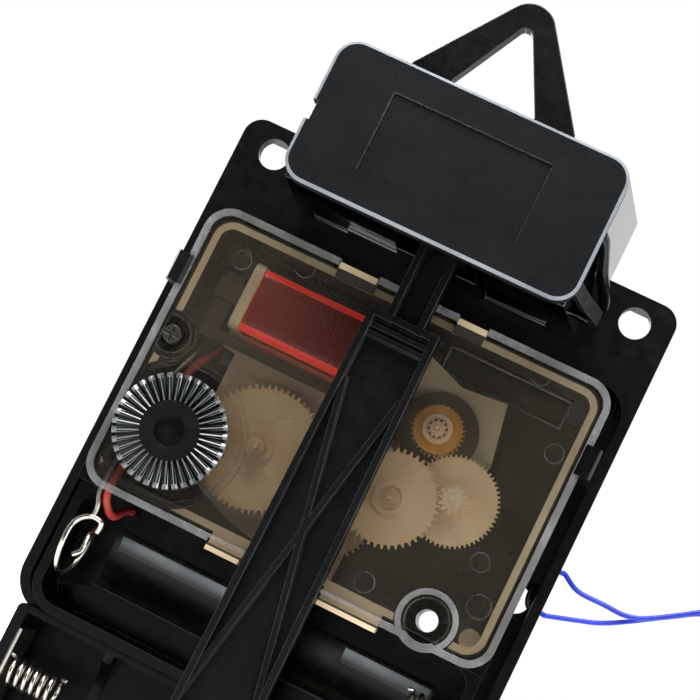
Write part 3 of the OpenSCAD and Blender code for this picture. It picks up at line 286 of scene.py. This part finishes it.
def gleamingAbs(name, look):
    # a long reflection that fades out toward its lower edge
    material = mouldedPlastic(name, look)
    place = addNode(material, "ShaderNodeTexCoord").outputs["Object"]
    split = addNode(material, "ShaderNodeSeparateXYZ", links={"Vector": place}).outputs
    rise = addNode(material, "ShaderNodeMapRange", {
        "From Min": look["fadeFrom"] * mm, "From Max": look["fadeTo"] * mm,
    }, {"Value": split["Z"]})
    shadeWhere(material, rise.outputs["Result"], look["shade"])
    return material


# bandScale is the wave texture's scale for bands one metre apart
windingUsual = {
    "rough": 0.32, "coat": 0.5, "coatRough": 0.15, "glow": 0.0, "wireMm": 0.24, "bandScale": 0.314,
    "wobble": 0.4, "wobbleDetail": 1.0, "tintSpan": (0.1, 0.7), "bump": 0.6, "depth": 0.4,
}


def enamelledWinding(name, look):
    # enamelled copper wire wound side by side: fine lines round the coil, drawn coarser than the real wire
    look = {**windingUsual, **look}
    material, shader, place = newMaterial(name)
    setShader(shader, {
        "Metallic": look["metallic"], "Roughness": look["rough"],
        "Coat Weight": look["coat"], "Coat Roughness": look["coatRough"],
        "Emission Color": colour(look["dark"]), "Emission Strength": look["glow"],
    })
    turns = addNode(material, "ShaderNodeTexWave", {
        "wave_type": "BANDS", "bands_direction": look["along"],
        "Scale": look["bandScale"] / (look["wireMm"] * mm), "Distortion": look["wobble"],
        "Detail": look["wobbleDetail"],
    }, {"Vector": place}).outputs["Fac"]
    tint = addNode(material, "ShaderNodeValToRGB", links={"Fac": turns},
                   stops=tintStops(look, look["tintSpan"]))
    bump = addNode(material, "ShaderNodeBump", {
        "Strength": look["bump"], "Distance": look["wireMm"] * mm * look["depth"],
    }, {"Height": turns})
    linkShader(material, shader, {"Base Color": tint.outputs["Color"], "Normal": bump.outputs["Normal"]})
    return material


plastics = {
    "blackAbsMoulded": {"dark": "#050506", "pale": "#090a0b", "smooth": 0.3, "rough": 0.44,
                        "grainMm": 0.22, "bump": 0.3, "shine": 0.14},
    # painted highlight on the broken edges of the black mouldings
    "blackAbsEdgeHighlight": {"dark": "#2b2d30", "pale": "#3c3f43", "smooth": 0.25, "rough": 0.4,
                     "grainMm": 0.3, "bump": 0.2},
    "glossyAbsMoulded": {"dark": "#010101", "pale": "#030304", "smooth": 0.16, "rough": 0.3,
                         "grainMm": 0.5, "bump": 0.02, "shine": 0.2},
    "polishedAbsMoulded": {"dark": "#010101", "pale": "#030304", "smooth": 0.06, "rough": 0.14,
                           "grainMm": 0.5, "bump": 0.05, "shine": 0.7, "coat": 1.0},
    "charcoalAbsEroded": {"dark": "#0d0e10", "pale": "#131416", "smooth": 0.44, "rough": 0.6,
                          "grainMm": 0.26, "bump": 0.5, "shine": 0.12},
    # painted highlight on the lid's broken edges and slanted top faces
    "charcoalAbsEdgeHighlight": {"dark": "#777d83", "pale": "#a2a9b0", "smooth": 0.25, "rough": 0.4,
                        "grainMm": 0.3, "bump": 0.2},
    "blackAcetalArm": {"dark": "#060607", "pale": "#0b0b0c", "smooth": 0.34, "rough": 0.5,
                       "grainMm": 0.3, "bump": 0.3, "shine": 0.14},
    # the knob is black plastic: the grey of its ribs is a painted reflection
    "knobRibPaintedSheen": {"dark": "#43484a", "pale": "#5b6062", "smooth": 0.16, "rough": 0.26,
                        "grainMm": 0.4, "bump": 0.05, "shine": 1.0, "coat": 1.0},
    "knobAbsPolished": {"dark": "#0a0c0c", "pale": "#121414", "smooth": 0.16, "rough": 0.3,
                        "grainMm": 0.4, "bump": 0.1, "shine": 0.3},
    "beigeAcetal": {"dark": "#c4ad84", "pale": "#dac79f", "smooth": 0.34, "rough": 0.5,
                    "grainMm": 0.3, "bump": 0.2},
    "creamAcetal": {"dark": "#dcb887", "pale": "#eccb9c", "smooth": 0.3, "rough": 0.45,
                    "grainMm": 0.3, "bump": 0.2},
    "brightAcetal": {"dark": "#fbdcaa", "pale": "#ffe8c0", "smooth": 0.3, "rough": 0.45,
                     "grainMm": 0.3, "bump": 0.2},
    "paleAcetal": {"dark": "#f3cf9c", "pale": "#ffe0b0", "smooth": 0.3, "rough": 0.45,
                   "grainMm": 0.3, "bump": 0.2},
    "amberAcetal": {"dark": "#c98a2c", "pale": "#eeb04e", "smooth": 0.22, "rough": 0.36,
                    "grainMm": 0.4, "bump": 0.1, "coat": 0.4},
    "blackPolyester": {"dark": "#0e0e0f", "pale": "#1a1a1b", "smooth": 0.3, "rough": 0.45,
                       "grainMm": 0.3, "bump": 0.2},
    "ivoryNylon": {"dark": "#cfc7b0", "pale": "#e2dcc8", "smooth": 0.34, "rough": 0.5,
                   "grainMm": 0.25, "bump": 0.2},
    "solderMask": {"dark": "#123f22", "pale": "#1d5a33", "smooth": 0.2, "rough": 0.35,
                   "grainMm": 0.5, "bump": 0.15},
    "epoxyBlob": {"dark": "#0a0a0b", "pale": "#141415", "smooth": 0.15, "rough": 0.25,
                  "grainMm": 0.6, "bump": 0.1},
    "bluePvc": {"dark": "#0b27b0", "pale": "#1c3fdc", "smooth": 0.3, "rough": 0.42,
                "grainMm": 0.3, "bump": 0.15},
    "redPvc": {"dark": "#a52f28", "pale": "#c9443a", "smooth": 0.3, "rough": 0.42,
               "grainMm": 0.3, "bump": 0.15},
}
metals = {
    "nickelPlatedSteel": {"colour": "#d9d5cb", "lines": (1, 1, 6), "lineMm": 0.4, "smooth": 0.12,
                          "rough": 0.3},
    "transformerIron": {"colour": "#6e614d", "lines": (1, 1, 8), "lineMm": 0.5, "smooth": 0.3,
                        "rough": 0.5},
    "turnedBrass": {"colour": "#d9b35a", "lines": (1, 8, 1), "lineMm": 0.5, "smooth": 0.18,
                    "rough": 0.32},
    "sinteredMagnet": {"colour": "#6b6d72", "lines": (1, 1, 1), "lineMm": 0.3, "smooth": 0.4,
                       "rough": 0.6},
    "zincPlatedSteel": {"colour": "#5f5d58", "lines": (1, 1, 1), "lineMm": 0.3, "smooth": 0.25,
                        "rough": 0.4},
    "tinnedCopper": {"colour": "#c8c4b8", "lines": (1, 1, 1), "lineMm": 0.2, "smooth": 0.25,
                     "rough": 0.4},
}
styrenes = {
    "smokyStyrene": {"dark": "#38342b", "pale": "#544d41", "seeThrough": 0.21},
    # painted highlight on the cover's broken edges and the top face of its rim
    "clearStyreneEdgeHighlight": {"dark": "#6b6966", "pale": "#adaeb0", "seeThrough": 0.55},
}
windings = {
    "redEnamelledWire": {"dark": "#7c1712", "pale": "#a8211a", "metallic": 0.2, "along": "X"},
    # painted highlight on the winding's broken edges and slanted faces, with a painted glow from its
    # emission
    "redEnamelledEdgeHighlight": {"dark": "#ff2a1c", "pale": "#ff6a58", "metallic": 0.0, "along": "X",
                         "glow": 0.35},
    "copperEnamelledWire": {"dark": "#7a3a16", "pale": "#c8743a", "metallic": 0.35, "along": "Y"},
}
# the places of the lit parts of the inner frame are in mm, in plan
shadedFrameLook = {
    "dark": "#c9b08a", "pale": "#e0cba6", "smooth": 0.34, "rough": 0.5, "grainMm": 0.3, "bump": 0.2,
    "shade": "#2b2720", "plateTop": 8.2, "plateFrom": -20.5, "plateUnder": 23.2,
    "rimAt": 14.92, "rimHalf": 0.1, "middleUp": 7.7, "tipAway": 19.1,
}
# painted reflection over the time bay's trough: pale where it gleams, fading toward the plastic's own
# black, which is its shade here
gleamLook = {
    "dark": "#98aaac", "pale": "#c4d2d3", "smooth": 0.12, "rough": 0.2, "grainMm": 0.5, "bump": 0.05,
    "coat": 0.5, "flowMm": 5, "shade": "#020203", "fadeFrom": -17.1, "fadeTo": -15.9,
}
finish = {name: mouldedPlastic(name, look) for name, look in plastics.items()}
finish.update({name: metalSurface(name, look) for name, look in metals.items()})
finish.update({name: smokyStyrene(name, look) for name, look in styrenes.items()})
finish["shadedAcetal"] = shadedAcetal("shadedAcetal", shadedFrameLook)
finish.update({name: enamelledWinding(name, look) for name, look in windings.items()})
finish["gleamingAbs"] = gleamingAbs("gleamingAbs", gleamLook)
print("materials made:", len(finish))


# how a moulded piece's edges are found and broken; mergeDistance is in metres
edgeBreaking = {
    "mergeDistance": 2e-6, "flatDegrees": 1.5, "sharpDegrees": 32, "segments": 2, "slant": (0.3, 0.9),
}
# faces above these heights take the painted highlight of the edges, and so do slanted faces above the next
# ones
raisedAbove = {"movement_cover": 15.97 * mm, "rotor": 12.3 * mm}
slantedAbove = {"pendulum_lid": 30 * mm, "motor_winding": 0}
# a height in metres that no face reaches
outOfReach = 1


def cleanedMesh(nodeName, look):
    mesh = frame["nodes"][nodeName].data.copy()
    form = bmesh.new()
    form.from_mesh(mesh)
    bmesh.ops.remove_doubles(form, verts=form.verts, dist=look["mergeDistance"])
    bmesh.ops.dissolve_limit(form, angle_limit=math.radians(look["flatDegrees"]), verts=form.verts,
                             edges=form.edges)
    form.to_mesh(mesh)
    form.free()
    mesh.materials.clear()
    return mesh


def markEdgeFaces(mesh, nodeName, look):
    for face in mesh.polygons:
        height = -face.center.y
        raised = height > raisedAbove.get(nodeName, outOfReach)
        atSlant = look["slant"][0] < abs(face.normal.y) < look["slant"][1]
        slanted = atSlant and height > slantedAbove.get(nodeName, outOfReach)
        face.material_index = 1 if raised or slanted else 0


def brokenEdges(nodeName, slotName, width, finishName, edgeHighlight=None):
    # a merged copy of the imported mesh with its edges broken as the mould leaves them; where a second
    # finish is given, its lighter colour paints a highlight on the broken edges
    mesh = cleanedMesh(nodeName, edgeBreaking)
    piece = bpy.data.objects.new(nodeName + "_finished", mesh)
    bpy.context.scene.collection.objects.link(piece)
    mesh.materials.append(finish[finishName])
    mesh.shade_smooth()
    mesh.set_sharp_from_angle(angle=math.radians(edgeBreaking["sharpDegrees"]))
    bevel = piece.modifiers.new("brokenEdges", "BEVEL")
    if edgeHighlight:
        mesh.materials.append(finish[edgeHighlight])
        bevel.material = 1
        markEdgeFaces(mesh, nodeName, edgeBreaking)
    bevel.width = width * mm
    bevel.segments = edgeBreaking["segments"]
    bevel.limit_method = "ANGLE"
    bevel.angle_limit = math.radians(edgeBreaking["sharpDegrees"])
    bevel.harden_normals = True
    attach(piece, frame["nodes"][nodeName]["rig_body"])
    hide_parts(nodeName)
    return piece


# width of the broken edges in mm, finish of the piece, and finish of its edges where that differs, a
# lighter colour that paints a highlight
mouldedPieces = {
    "chassis": (0.22, "blackAbsMoulded", "blackAbsEdgeHighlight"),
    "movement_case": (0.14, "glossyAbsMoulded", "blackAbsEdgeHighlight"),
    "movement_cover": (0.14, "smokyStyrene", "clearStyreneEdgeHighlight"),
    "train_frame": (0.08, "shadedAcetal"),
    "pendulum_housing": (0.2, "polishedAbsMoulded"),
    "pendulum_lid": (0.14, "charcoalAbsEroded", "charcoalAbsEdgeHighlight"),
    "hanger": (0.16, "blackAbsMoulded", "blackAbsEdgeHighlight"),
    "pendulum_arm": (0.12, "blackAcetalArm", "blackAbsEdgeHighlight"),
    "set_knob": (0.08, "knobAbsPolished"),
    "motor_bobbin": (0.1, "beigeAcetal"),
    "motor_winding": (0.1, "redEnamelledWire", "redEnamelledEdgeHighlight"),
    "speaker_plug": (0.15, "ivoryNylon"),
    "wire_ties": (0.1, "blackPolyester"),
    "centre_bush": (0.15, "turnedBrass"),
    "case_screw": (0.1, "zincPlatedSteel"),
    # the rotor's broken edges and raised top faces take the pale acetal as a painted highlight
    "rotor": (0.12, "amberAcetal", "paleAcetal"),
}
slots = {row["node"]: row["material_slot"] for row in frame["record"]["subparts"]}
shown = {name: brokenEdges(name, slots[name], *look) for name, look in mouldedPieces.items()}
print("moulded pieces finished:", len(mouldedPieces))


# the two speaker wires, which run through these points from part.scad, in its order x, up, height
speakerWires = {
    "diameter": 0.65, "turns": 6, "firstRadius": 2.2, "turnStep": 1.25, "routeSteps": 5, "coilSteps": 32,
    "upper": {
        "stretch": [
            (31.2, 5.3, 3), (31.6, 5.3, 3), (32, 5.3, 3), (34.3, 4.1, 3.1), (37.9, 4, 3.3),
            (41.2, 4, 3.3), (44.2, 5.2, 3.3), (50.2, 9.2, 3.3), (51.8, 11, 2.2), (53.4, 12.6, 1.1),
            (55.5, 13.6, 1.1), (56.8, 13.8, 1.2), (57.3, 13.8, 1.9), (57.75, 13.8, 2.4),
            (58.05, 13.8, 2.4), (58.35, 13.8, 2.4),
        ],
        "coilAt": (59, 16, 2.4),
        "tail": [
            (59.65, 13.8, 3.65), (59.95, 13.8, 3.65), (60.25, 13.8, 3.65), (60.9, 13.8, 4.4),
            (61.5, 13.8, 5), (65.4, 13.6, 5), (69, 11.6, 4.6), (71.4, 8.6, 3.8), (73, 6.9, 3.3),
            (73.5, 6.9, 3.3), (74, 6.9, 3.3),
        ],
    },
    "lower": {
        "stretch": [
            (31.2, -0.5, 3), (31.6, -0.5, 3), (32, -0.5, 3), (35.7, 0.7, 2.8), (38.5, 1.7, 2.5),
            (41.4, 3.3, 2.4), (46.1, 6.3, 2.4), (50.4, 8.7, 2.4), (53.5, 7.6, 2), (55, 4.4, 1.4),
            (55.8, 0.4, 1.1), (58, -2, 1.1), (60.8, -2.2, 1.2), (61.3, -2.2, 1.9), (61.75, -2.2, 2.4),
            (62.05, -2.2, 2.4), (62.35, -2.2, 2.4),
        ],
        "coilAt": (63, 0, 2.4),
        "tail": [
            (63.65, -2.2, 3.65), (63.95, -2.2, 3.65), (64.25, -2.2, 3.65), (64.9, -2.2, 4.4),
            (65.5, -2.2, 5), (68.4, -1.8, 5), (70.6, 0.6, 4.6), (71.6, 3.8, 3.8), (73, 5.6, 3.3),
            (73.5, 5.6, 3.3), (74, 5.6, 3.3),
        ],
    },
}


def smoothRoute(points, steps):
    made = []
    for i in range(len(points) - 1):
        a, b, c, d = (Vector(points[min(max(k, 0), len(points) - 1)]) for k in (i - 1, i, i + 1, i + 2))
        for s in range(steps):
            t = s / steps
            made.append(0.5 * (2 * b + (c - a) * t + (2 * a - 5 * b + 4 * c - d) * t * t
                               + (3 * b - a - 3 * c + d) * t * t * t))
    made.append(Vector(points[-1]))
    return made


def coilRoute(centre, wires):
    # out in one layer, up a layer as the spiral turns back, and in again
    turns = wires["turns"]
    steps = wires["coilSteps"]
    made = []
    for s in range(turns * steps + 1):
        t = s / steps
        radius = wires["firstRadius"] + wires["turnStep"] * (t if t < turns / 2 else turns - t)
        climb = wires["turnStep"] * min(max(2 * t - turns + 0.5, 0), 1)
        angle = math.radians(t * 360 - 90)
        made.append(Vector((centre[0] + radius * math.cos(angle), centre[1] + radius * math.sin(angle),
                            centre[2] + climb)))
    return made


tubeRoundness = 4


def tubeAlong(name, points, radius, material, body):
    curve = bpy.data.curves.new(name, "CURVE")
    curve.dimensions = "3D"
    curve.bevel_depth = radius * mm
    curve.bevel_resolution = tubeRoundness
    curve.use_fill_caps = True
    spline = curve.splines.new("POLY")
    spline.points.add(len(points) - 1)
    for place, point in zip(spline.points, points):
        place.co = (*inFrame(point), 1)
    spline.use_smooth = True
    piece = bpy.data.objects.new(name, curve)
    bpy.context.scene.collection.objects.link(piece)
    piece.data.materials.append(material)
    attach(piece, body)
    return piece


def speakerWire(which, wires, replaced):
    route = wires[which]
    stretch = smoothRoute(route["stretch"], wires["routeSteps"])
    tail = smoothRoute(route["tail"], wires["routeSteps"])
    points = stretch + coilRoute(route["coilAt"], wires) + tail
    wire = tubeAlong("speakerWire_" + which, points, wires["diameter"] / 2, finish["bluePvc"], "base")
    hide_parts(*replaced)


speakerWire("upper", speakerWires, ["speaker_wire_upper", "wire_coil_upper", "wire_tail_upper"])
speakerWire("lower", speakerWires, ["speaker_wire_lower", "wire_coil_lower", "wire_tail_lower"])


# leads inside the movement, in plan coordinates too
innerLeadSteps = 6
innerLeads = {
    "musicLeadUpper": {
        "radius": 0.325, "finish": "blackPolyester", "slot": "blue_insulation",
        "node": "speaker_leads_inside",
        "points": [
            (22, 34, 2.4), (23, 34, 2.4), (24, 34, 2.4), (27.6, 32.8, 2.6), (28.5, 29, 2.6),
            (28.5, 20, 2.6), (28.5, 9, 2.6), (28.7, 6.4, 2.9), (29.4, 5.4, 3), (30.2, 5.3, 3),
            (30.7, 5.3, 3), (31.2, 5.3, 3),
        ],
    },
    "musicLeadLower": {
        "radius": 0.325, "finish": "blackPolyester", "slot": "blue_insulation",
        "node": "speaker_leads_inside",
        "points": [
            (22, 35.2, 2.4), (23, 35.2, 2.4), (24, 35.2, 2.4), (28.6, 33.6, 2.6), (29.3, 30, 2.6),
            (29.3, 20, 2.6), (29.3, 9, 2.2), (29.1, 4, 2.1), (28.9, 1, 2.6), (29.4, -0.4, 3),
            (30.2, -0.5, 3), (30.7, -0.5, 3), (31.2, -0.5, 3),
        ],
    },
    "redLead": {
        "radius": 0.5, "finish": "redPvc", "slot": "red_insulation", "node": "red_lead",
        "points": [
            (-20.5, 13, 3.2), (-20.5, 13, 3.7), (-20.5, 13, 4.2), (-21.4, 11, 5.2), (-22.4, 8.6, 7),
            (-23.2, 5, 9), (-23.8, 0, 11), (-24, -7, 12.4), (-24, -11.2, 13.3), (-23.2, -13, 12.6),
            (-22.5, -13.6, 10.8), (-22.2, -12.6, 7.6), (-22.2, -12.2, 4.4), (-22.2, -12.2, 3.4),
            (-22.2, -12.2, 2.4),
        ],
    },
    "bareLead": {
        "radius": 0.3, "finish": "tinnedCopper", "slot": "steel", "node": "bare_lead",
        "points": [
            (-21.9, 13, 3.2), (-21.9, 13, 3.7), (-21.9, 13, 4.2), (-22.9, 11.4, 5.2), (-23.7, 8.6, 7.2),
            (-24.6, 5, 9.2), (-25, 0, 11), (-25.1, -7, 12.6), (-25, -11.2, 13.5), (-24.4, -12.8, 13.9),
            (-24.2, -13.6, 13.9), (-24.2, -14, 13.9), (-24.2, -14.4, 13.9),
        ],
    },
    "timeWireContact": {
        "radius": 0.36, "finish": "nickelPlatedSteel", "slot": "bright_steel",
        "node": "time_wire_contact",
        "points": [
            (-22.9, -16.3, 13.6), (-22.9, -14.9, 13.8), (-24.6, -14.8, 13.9), (-26.1, -16.4, 13.7),
            (-26.2, -19.2, 14), (-25.9, -21.9, 12.9), (-25.5, -22.9, 10.4), (-25.1, -21.8, 7.9),
            (-24.7, -19.3, 6.9), (-24.4, -16.9, 7.9), (-24.1, -15.9, 10.4), (-23.8, -16.9, 12.7),
            (-23.6, -19, 13.7), (-24.4, -20, 13.8),
        ],
    },
}
for name, lead in innerLeads.items():
    piece = tubeAlong(name, smoothRoute(lead["points"], innerLeadSteps), lead["radius"],
                      finish[lead["finish"]], "base")
    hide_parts(lead["node"])


def shapedPiece(name, form, material, sharpDegrees):
    bmesh.ops.recalc_face_normals(form, faces=form.faces)
    mesh = bpy.data.meshes.new(name)
    form.to_mesh(mesh)
    form.free()
    mesh.shade_smooth()
    mesh.set_sharp_from_angle(angle=math.radians(sharpDegrees))
    mesh.materials.append(material)
    piece = bpy.data.objects.new(name, mesh)
    bpy.context.scene.collection.objects.link(piece)
    return piece


# a painted reflection on the upper flank of the time bay's trough, drawn as a thin pale skin over the
# trough
bayGleam = {
    "spans": ((-21.6, -5.2), (10.8, 23.0)), "rows": 6, "up": (-17.4, -15.45),
    "axisUp": -18.9, "axisHeight": 9.65, "radius": 7.31, "thickness": 0.03, "sharpDegrees": 32,
}


def makeBayGleam(look, material):
    form = bmesh.new()
    for left, right in look["spans"]:
        rows = []
        for k in range(look["rows"] + 1):
            up = look["up"][0] + (look["up"][1] - look["up"][0]) * k / look["rows"]
            height = look["axisHeight"] - math.sqrt(look["radius"] ** 2 - (up - look["axisUp"]) ** 2)
            rows.append([form.verts.new(inFrame((x, up, height))) for x in (left, right)])
        for low, high in zip(rows, rows[1:]):
            form.faces.new((low[0], low[1], high[1], high[0]))
    bmesh.ops.solidify(form, geom=form.faces[:], thickness=look["thickness"] * mm)
    gleam = shapedPiece("bayGleam", form, material, look["sharpDegrees"])
    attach(gleam, "base")


makeBayGleam(bayGleam, finish["gleamingAbs"])


# the side latch of the box: a black blade that runs from the lid's edge along the wall
sideLatch = {
    "halfWidth": 0.8, "steps": 8,
    "points": [
        (17.9, 42, 28.4), (18.5, 41.8, 26.6), (19.1, 41, 23), (19.8, 39.8, 19.5), (20.6, 39, 15.5),
        (21.3, 38.4, 12), (21.5, 37.6, 9.4), (21, 36.6, 7.6),
    ],
}
tubeAlong("sideLatchBlade", smoothRoute(sideLatch["points"], sideLatch["steps"]), sideLatch["halfWidth"],
          finish["glossyAbsMoulded"], "base")


# cylindrical contact springs, round wire wound to one hand with straight ends
springs = {
    "timeSpring": {"x": (26.8, 20.4), "up": -18.9, "height": 9.65, "radius": 2.6, "turns": 4,
                   "node": "time_spring"},
    "musicSpringLeft": {"x": (-26.2, -18.6), "up": -36.7, "height": 8.85, "radius": 1.9, "turns": 6,
                        "node": "music_springs"},
    "musicSpringRight": {"x": (26.2, 18.6), "up": -53.2, "height": 8.85, "radius": 1.9, "turns": 6,
                         "node": "music_springs"},
}
springWire = {"radius": 0.3, "lead": 0.6, "steps": 32}


def springRoute(spring, wire):
    first, last = spring["x"]
    way = math.copysign(1, last - first)
    steps = spring["turns"] * wire["steps"]
    made = [Vector((first, spring["up"] + spring["radius"], spring["height"]))]
    for s in range(steps + 1):
        angle = 2 * math.pi * s / wire["steps"]
        along = first + way * wire["lead"] + (last - first - 2 * way * wire["lead"]) * s / steps
        made.append(Vector((along, spring["up"] + spring["radius"] * math.cos(angle),
                            spring["height"] + spring["radius"] * math.sin(angle))))
    made.append(Vector((last, spring["up"] + spring["radius"], spring["height"])))
    return made


for name, spring in springs.items():
    piece = tubeAlong(name, springRoute(spring, springWire), springWire["radius"],
                      finish["nickelPlatedSteel"], "base")
    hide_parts(spring["node"])
print("wires, leads and springs made")


# setting knob: each rib is a wedge with a low ridge that widens toward the rim
knobRibs = {
    "count": 37, "centre": (-19.66, -0.93), "base": 16.9, "start": 3.7, "end": 7.32,
    "halfWidth": (0.17, 0.4), "crown": 1.28, "ridge": ((0.0, 0.0), (0.45, 0.16), (1.0, 0.62)),
    "sections": (0, 0.25, 0.5, 0.75, 0.9), "endRound": 0.25, "endSteps": 3, "endHigh": 0.8,
    "sharpDegrees": 24,
}


def ribSections(look):
    # each section's radius and share of the crown's height, which falls off round the rib's end
    span = look["end"] - look["start"]
    for share in look["sections"]:
        yield look["start"] + span * share, 1.0
    for s in range(1, look["endSteps"] + 1):
        turn = s / look["endSteps"] * math.pi / 2
        high = look["endHigh"] + (1 - look["endHigh"]) * math.cos(turn)
        yield look["end"] - look["endRound"] * (1 - math.sin(turn)), high


def ribProfile(look, radius, share):
    # points across one section, as distance to the side and height over the base
    way = (radius - look["start"]) / (look["end"] - look["start"])
    half = look["halfWidth"][0] + (look["halfWidth"][1] - look["halfWidth"][0]) * way
    slope = [(half * side, look["crown"] * share - half * fall) for side, fall in look["ridge"]]
    return [(half, 0)] + slope[::-1] + [(-side, up) for side, up in slope[1:]] + [(-half, 0)]


def knobRibBars(look, material):
    form = bmesh.new()
    for k in range(look["count"]):
        angle = 2 * math.pi * k / look["count"]
        rings = []
        for radius, share in ribSections(look):
            rings.append([form.verts.new(inFrame((
                look["centre"][0] + radius * math.cos(angle) - side * math.sin(angle),
                look["centre"][1] + radius * math.sin(angle) + side * math.cos(angle),
                look["base"] + up))) for side, up in ribProfile(look, radius, share)])
        for first, second in zip(rings, rings[1:]):
            for a, b, c, d in zip(first, first[1:], second[1:], second):
                form.faces.new((a, b, c, d))
            form.faces.new((first[-1], first[0], second[0], second[-1]))
        form.faces.new(rings[0])
        form.faces.new(list(reversed(rings[-1])))
    bars = shapedPiece("knobRibBars", form, material, look["sharpDegrees"])
    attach(bars, "knob")


# the ribs' grey colour is a painted reflection on the black knob
knobRibBars(knobRibs, finish["knobRibPaintedSheen"])
print("knob ribs made:", knobRibs["count"])


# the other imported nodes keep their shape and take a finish
nodeFinish = {
    "stator": "transformerIron",
    "coil_core": "transformerIron",
    "circuit_board": "solderMask",
    "quartz_crystal": "nickelPlatedSteel",
    "chip": "epoxyBlob",
    "drive_bobbin": "ivoryNylon",
    "drive_winding": "copperEnamelledWire",
    "drive_board": "solderMask",
    "pivot_pin": "nickelPlatedSteel",
    "arm_magnet": "sinteredMagnet",
    "rotor_magnet": "sinteredMagnet",
    "intermediate_wheel": "paleAcetal",
    "drive_wheel": "creamAcetal",
    "seconds_wheel": "creamAcetal",
    "third_wheel": "creamAcetal",
    "centre_wheel": "creamAcetal",
    "minute_arbor": "creamAcetal",
    "minute_work_wheel": "creamAcetal",
    "hour_wheel": "creamAcetal",
    "music_plate_left": "nickelPlatedSteel",
    "music_plates_right": "nickelPlatedSteel",
    "music_board": "solderMask",
    "music_chip": "epoxyBlob",
}
# faces above this height in mm take a finish of their own
topFinish = {"intermediate_wheel": (12.7, "brightAcetal")}
for nodeName, finishName in nodeFinish.items():
    mesh = frame["nodes"][nodeName].data
    mesh.materials.clear()
    mesh.materials.append(finish[finishName])
    if nodeName in topFinish:
        height, topName = topFinish[nodeName]
        mesh.materials.append(finish[topName])
        for face in mesh.polygons:
            face.material_index = 1 if -face.center.y > height * mm else 0
print("other nodes given a finish:", len(nodeFinish))


# plain pale floor, white surround and soft studio lamps; places and sizes in mm, power in watts
studio = {
    "floorUp": -83.0, "floorSide": 6000.0, "floorColour": "#f4f4f4", "floorRough": 0.9, "floorGlow": 0.9,
    "roomSpan": (-0.1, 0.5), "frontLevel": 0.08, "backLevel": 0.8,
    "lamps": [
        {"name": "highSoftbox", "at": (-60, -260, 430), "aim": (0, -10, 0), "size": 360, "power": 4.2},
        {"name": "sideSoftbox", "at": (430, -260, 120), "aim": (0, -10, 10), "size": 300, "power": 1.4},
        {"name": "backSoftbox", "at": (-200, 420, 240), "aim": (0, 10, 0), "size": 420, "power": 2.5},
    ],
}
white = (1, 1, 1, 1)


def makeFloor(look):
    form = bmesh.new()
    bmesh.ops.create_grid(form, x_segments=1, y_segments=1, size=look["floorSide"] * mm / 2)
    bmesh.ops.translate(form, vec=(0, 0, look["floorUp"] * mm), verts=form.verts)
    mesh = bpy.data.meshes.new("studioFloor")
    form.to_mesh(mesh)
    form.free()
    floor = bpy.data.objects.new("studioFloor", mesh)
    bpy.context.scene.collection.objects.link(floor)
    material, shader = newMaterial("paleStudioPaper")[:2]
    setShader(shader, {"Base Color": colour(look["floorColour"]), "Roughness": look["floorRough"],
                       "Emission Color": white})
    seen = addNode(material, "ShaderNodeLightPath").outputs["Is Camera Ray"]
    glow = addNode(material, "ShaderNodeMath", {"operation": "MULTIPLY", 1: look["floorGlow"]}, {0: seen})
    linkShader(material, shader, {"Emission Strength": glow.outputs["Value"]})
    mesh.materials.append(material)


def makeSurround(look):
    # white to the camera and through clear pieces
    # other rays meet the pale background behind the movement and the dim room on the camera's side
    world = bpy.data.worlds.new("whiteSurround")
    bpy.context.scene.world = world
    world.use_nodes = True
    background = world.node_tree.nodes["Background"]
    background.inputs["Color"].default_value = white
    path = addNode(world, "ShaderNodeLightPath").outputs
    through = addNode(world, "ShaderNodeMath", {"operation": "MAXIMUM"},
                      {0: path["Is Camera Ray"], 1: path["Is Transmission Ray"]})
    way = addNode(world, "ShaderNodeTexCoord").outputs["Generated"]
    parts = addNode(world, "ShaderNodeSeparateXYZ", links={"Vector": way}).outputs
    room = addNode(world, "ShaderNodeMapRange", {
        "From Min": look["roomSpan"][0], "From Max": look["roomSpan"][1],
        "To Min": look["frontLevel"], "To Max": look["backLevel"],
    }, {"Value": parts["Y"]})
    level = addNode(world, "ShaderNodeMath", {"operation": "MAXIMUM"},
                    {0: through.outputs[0], 1: room.outputs["Result"]})
    world.node_tree.links.new(level.outputs[0], background.inputs["Strength"])


def makeLamp(look):
    data = bpy.data.lights.new(look["name"], "AREA")
    data.shape = "SQUARE"
    data.size = look["size"] * mm
    data.energy = look["power"]
    lamp = bpy.data.objects.new(look["name"], data)
    bpy.context.scene.collection.objects.link(lamp)
    place = Vector(look["at"]) * mm
    aim = (Vector(look["aim"]) * mm - place).to_track_quat("-Z", "Y").to_matrix().to_4x4()
    lamp.matrix_world = Matrix.Translation(place) @ aim


makeFloor(studio)
makeSurround(studio)
for lamp in studio["lamps"]:
    makeLamp(lamp)
print("floor and lights set")
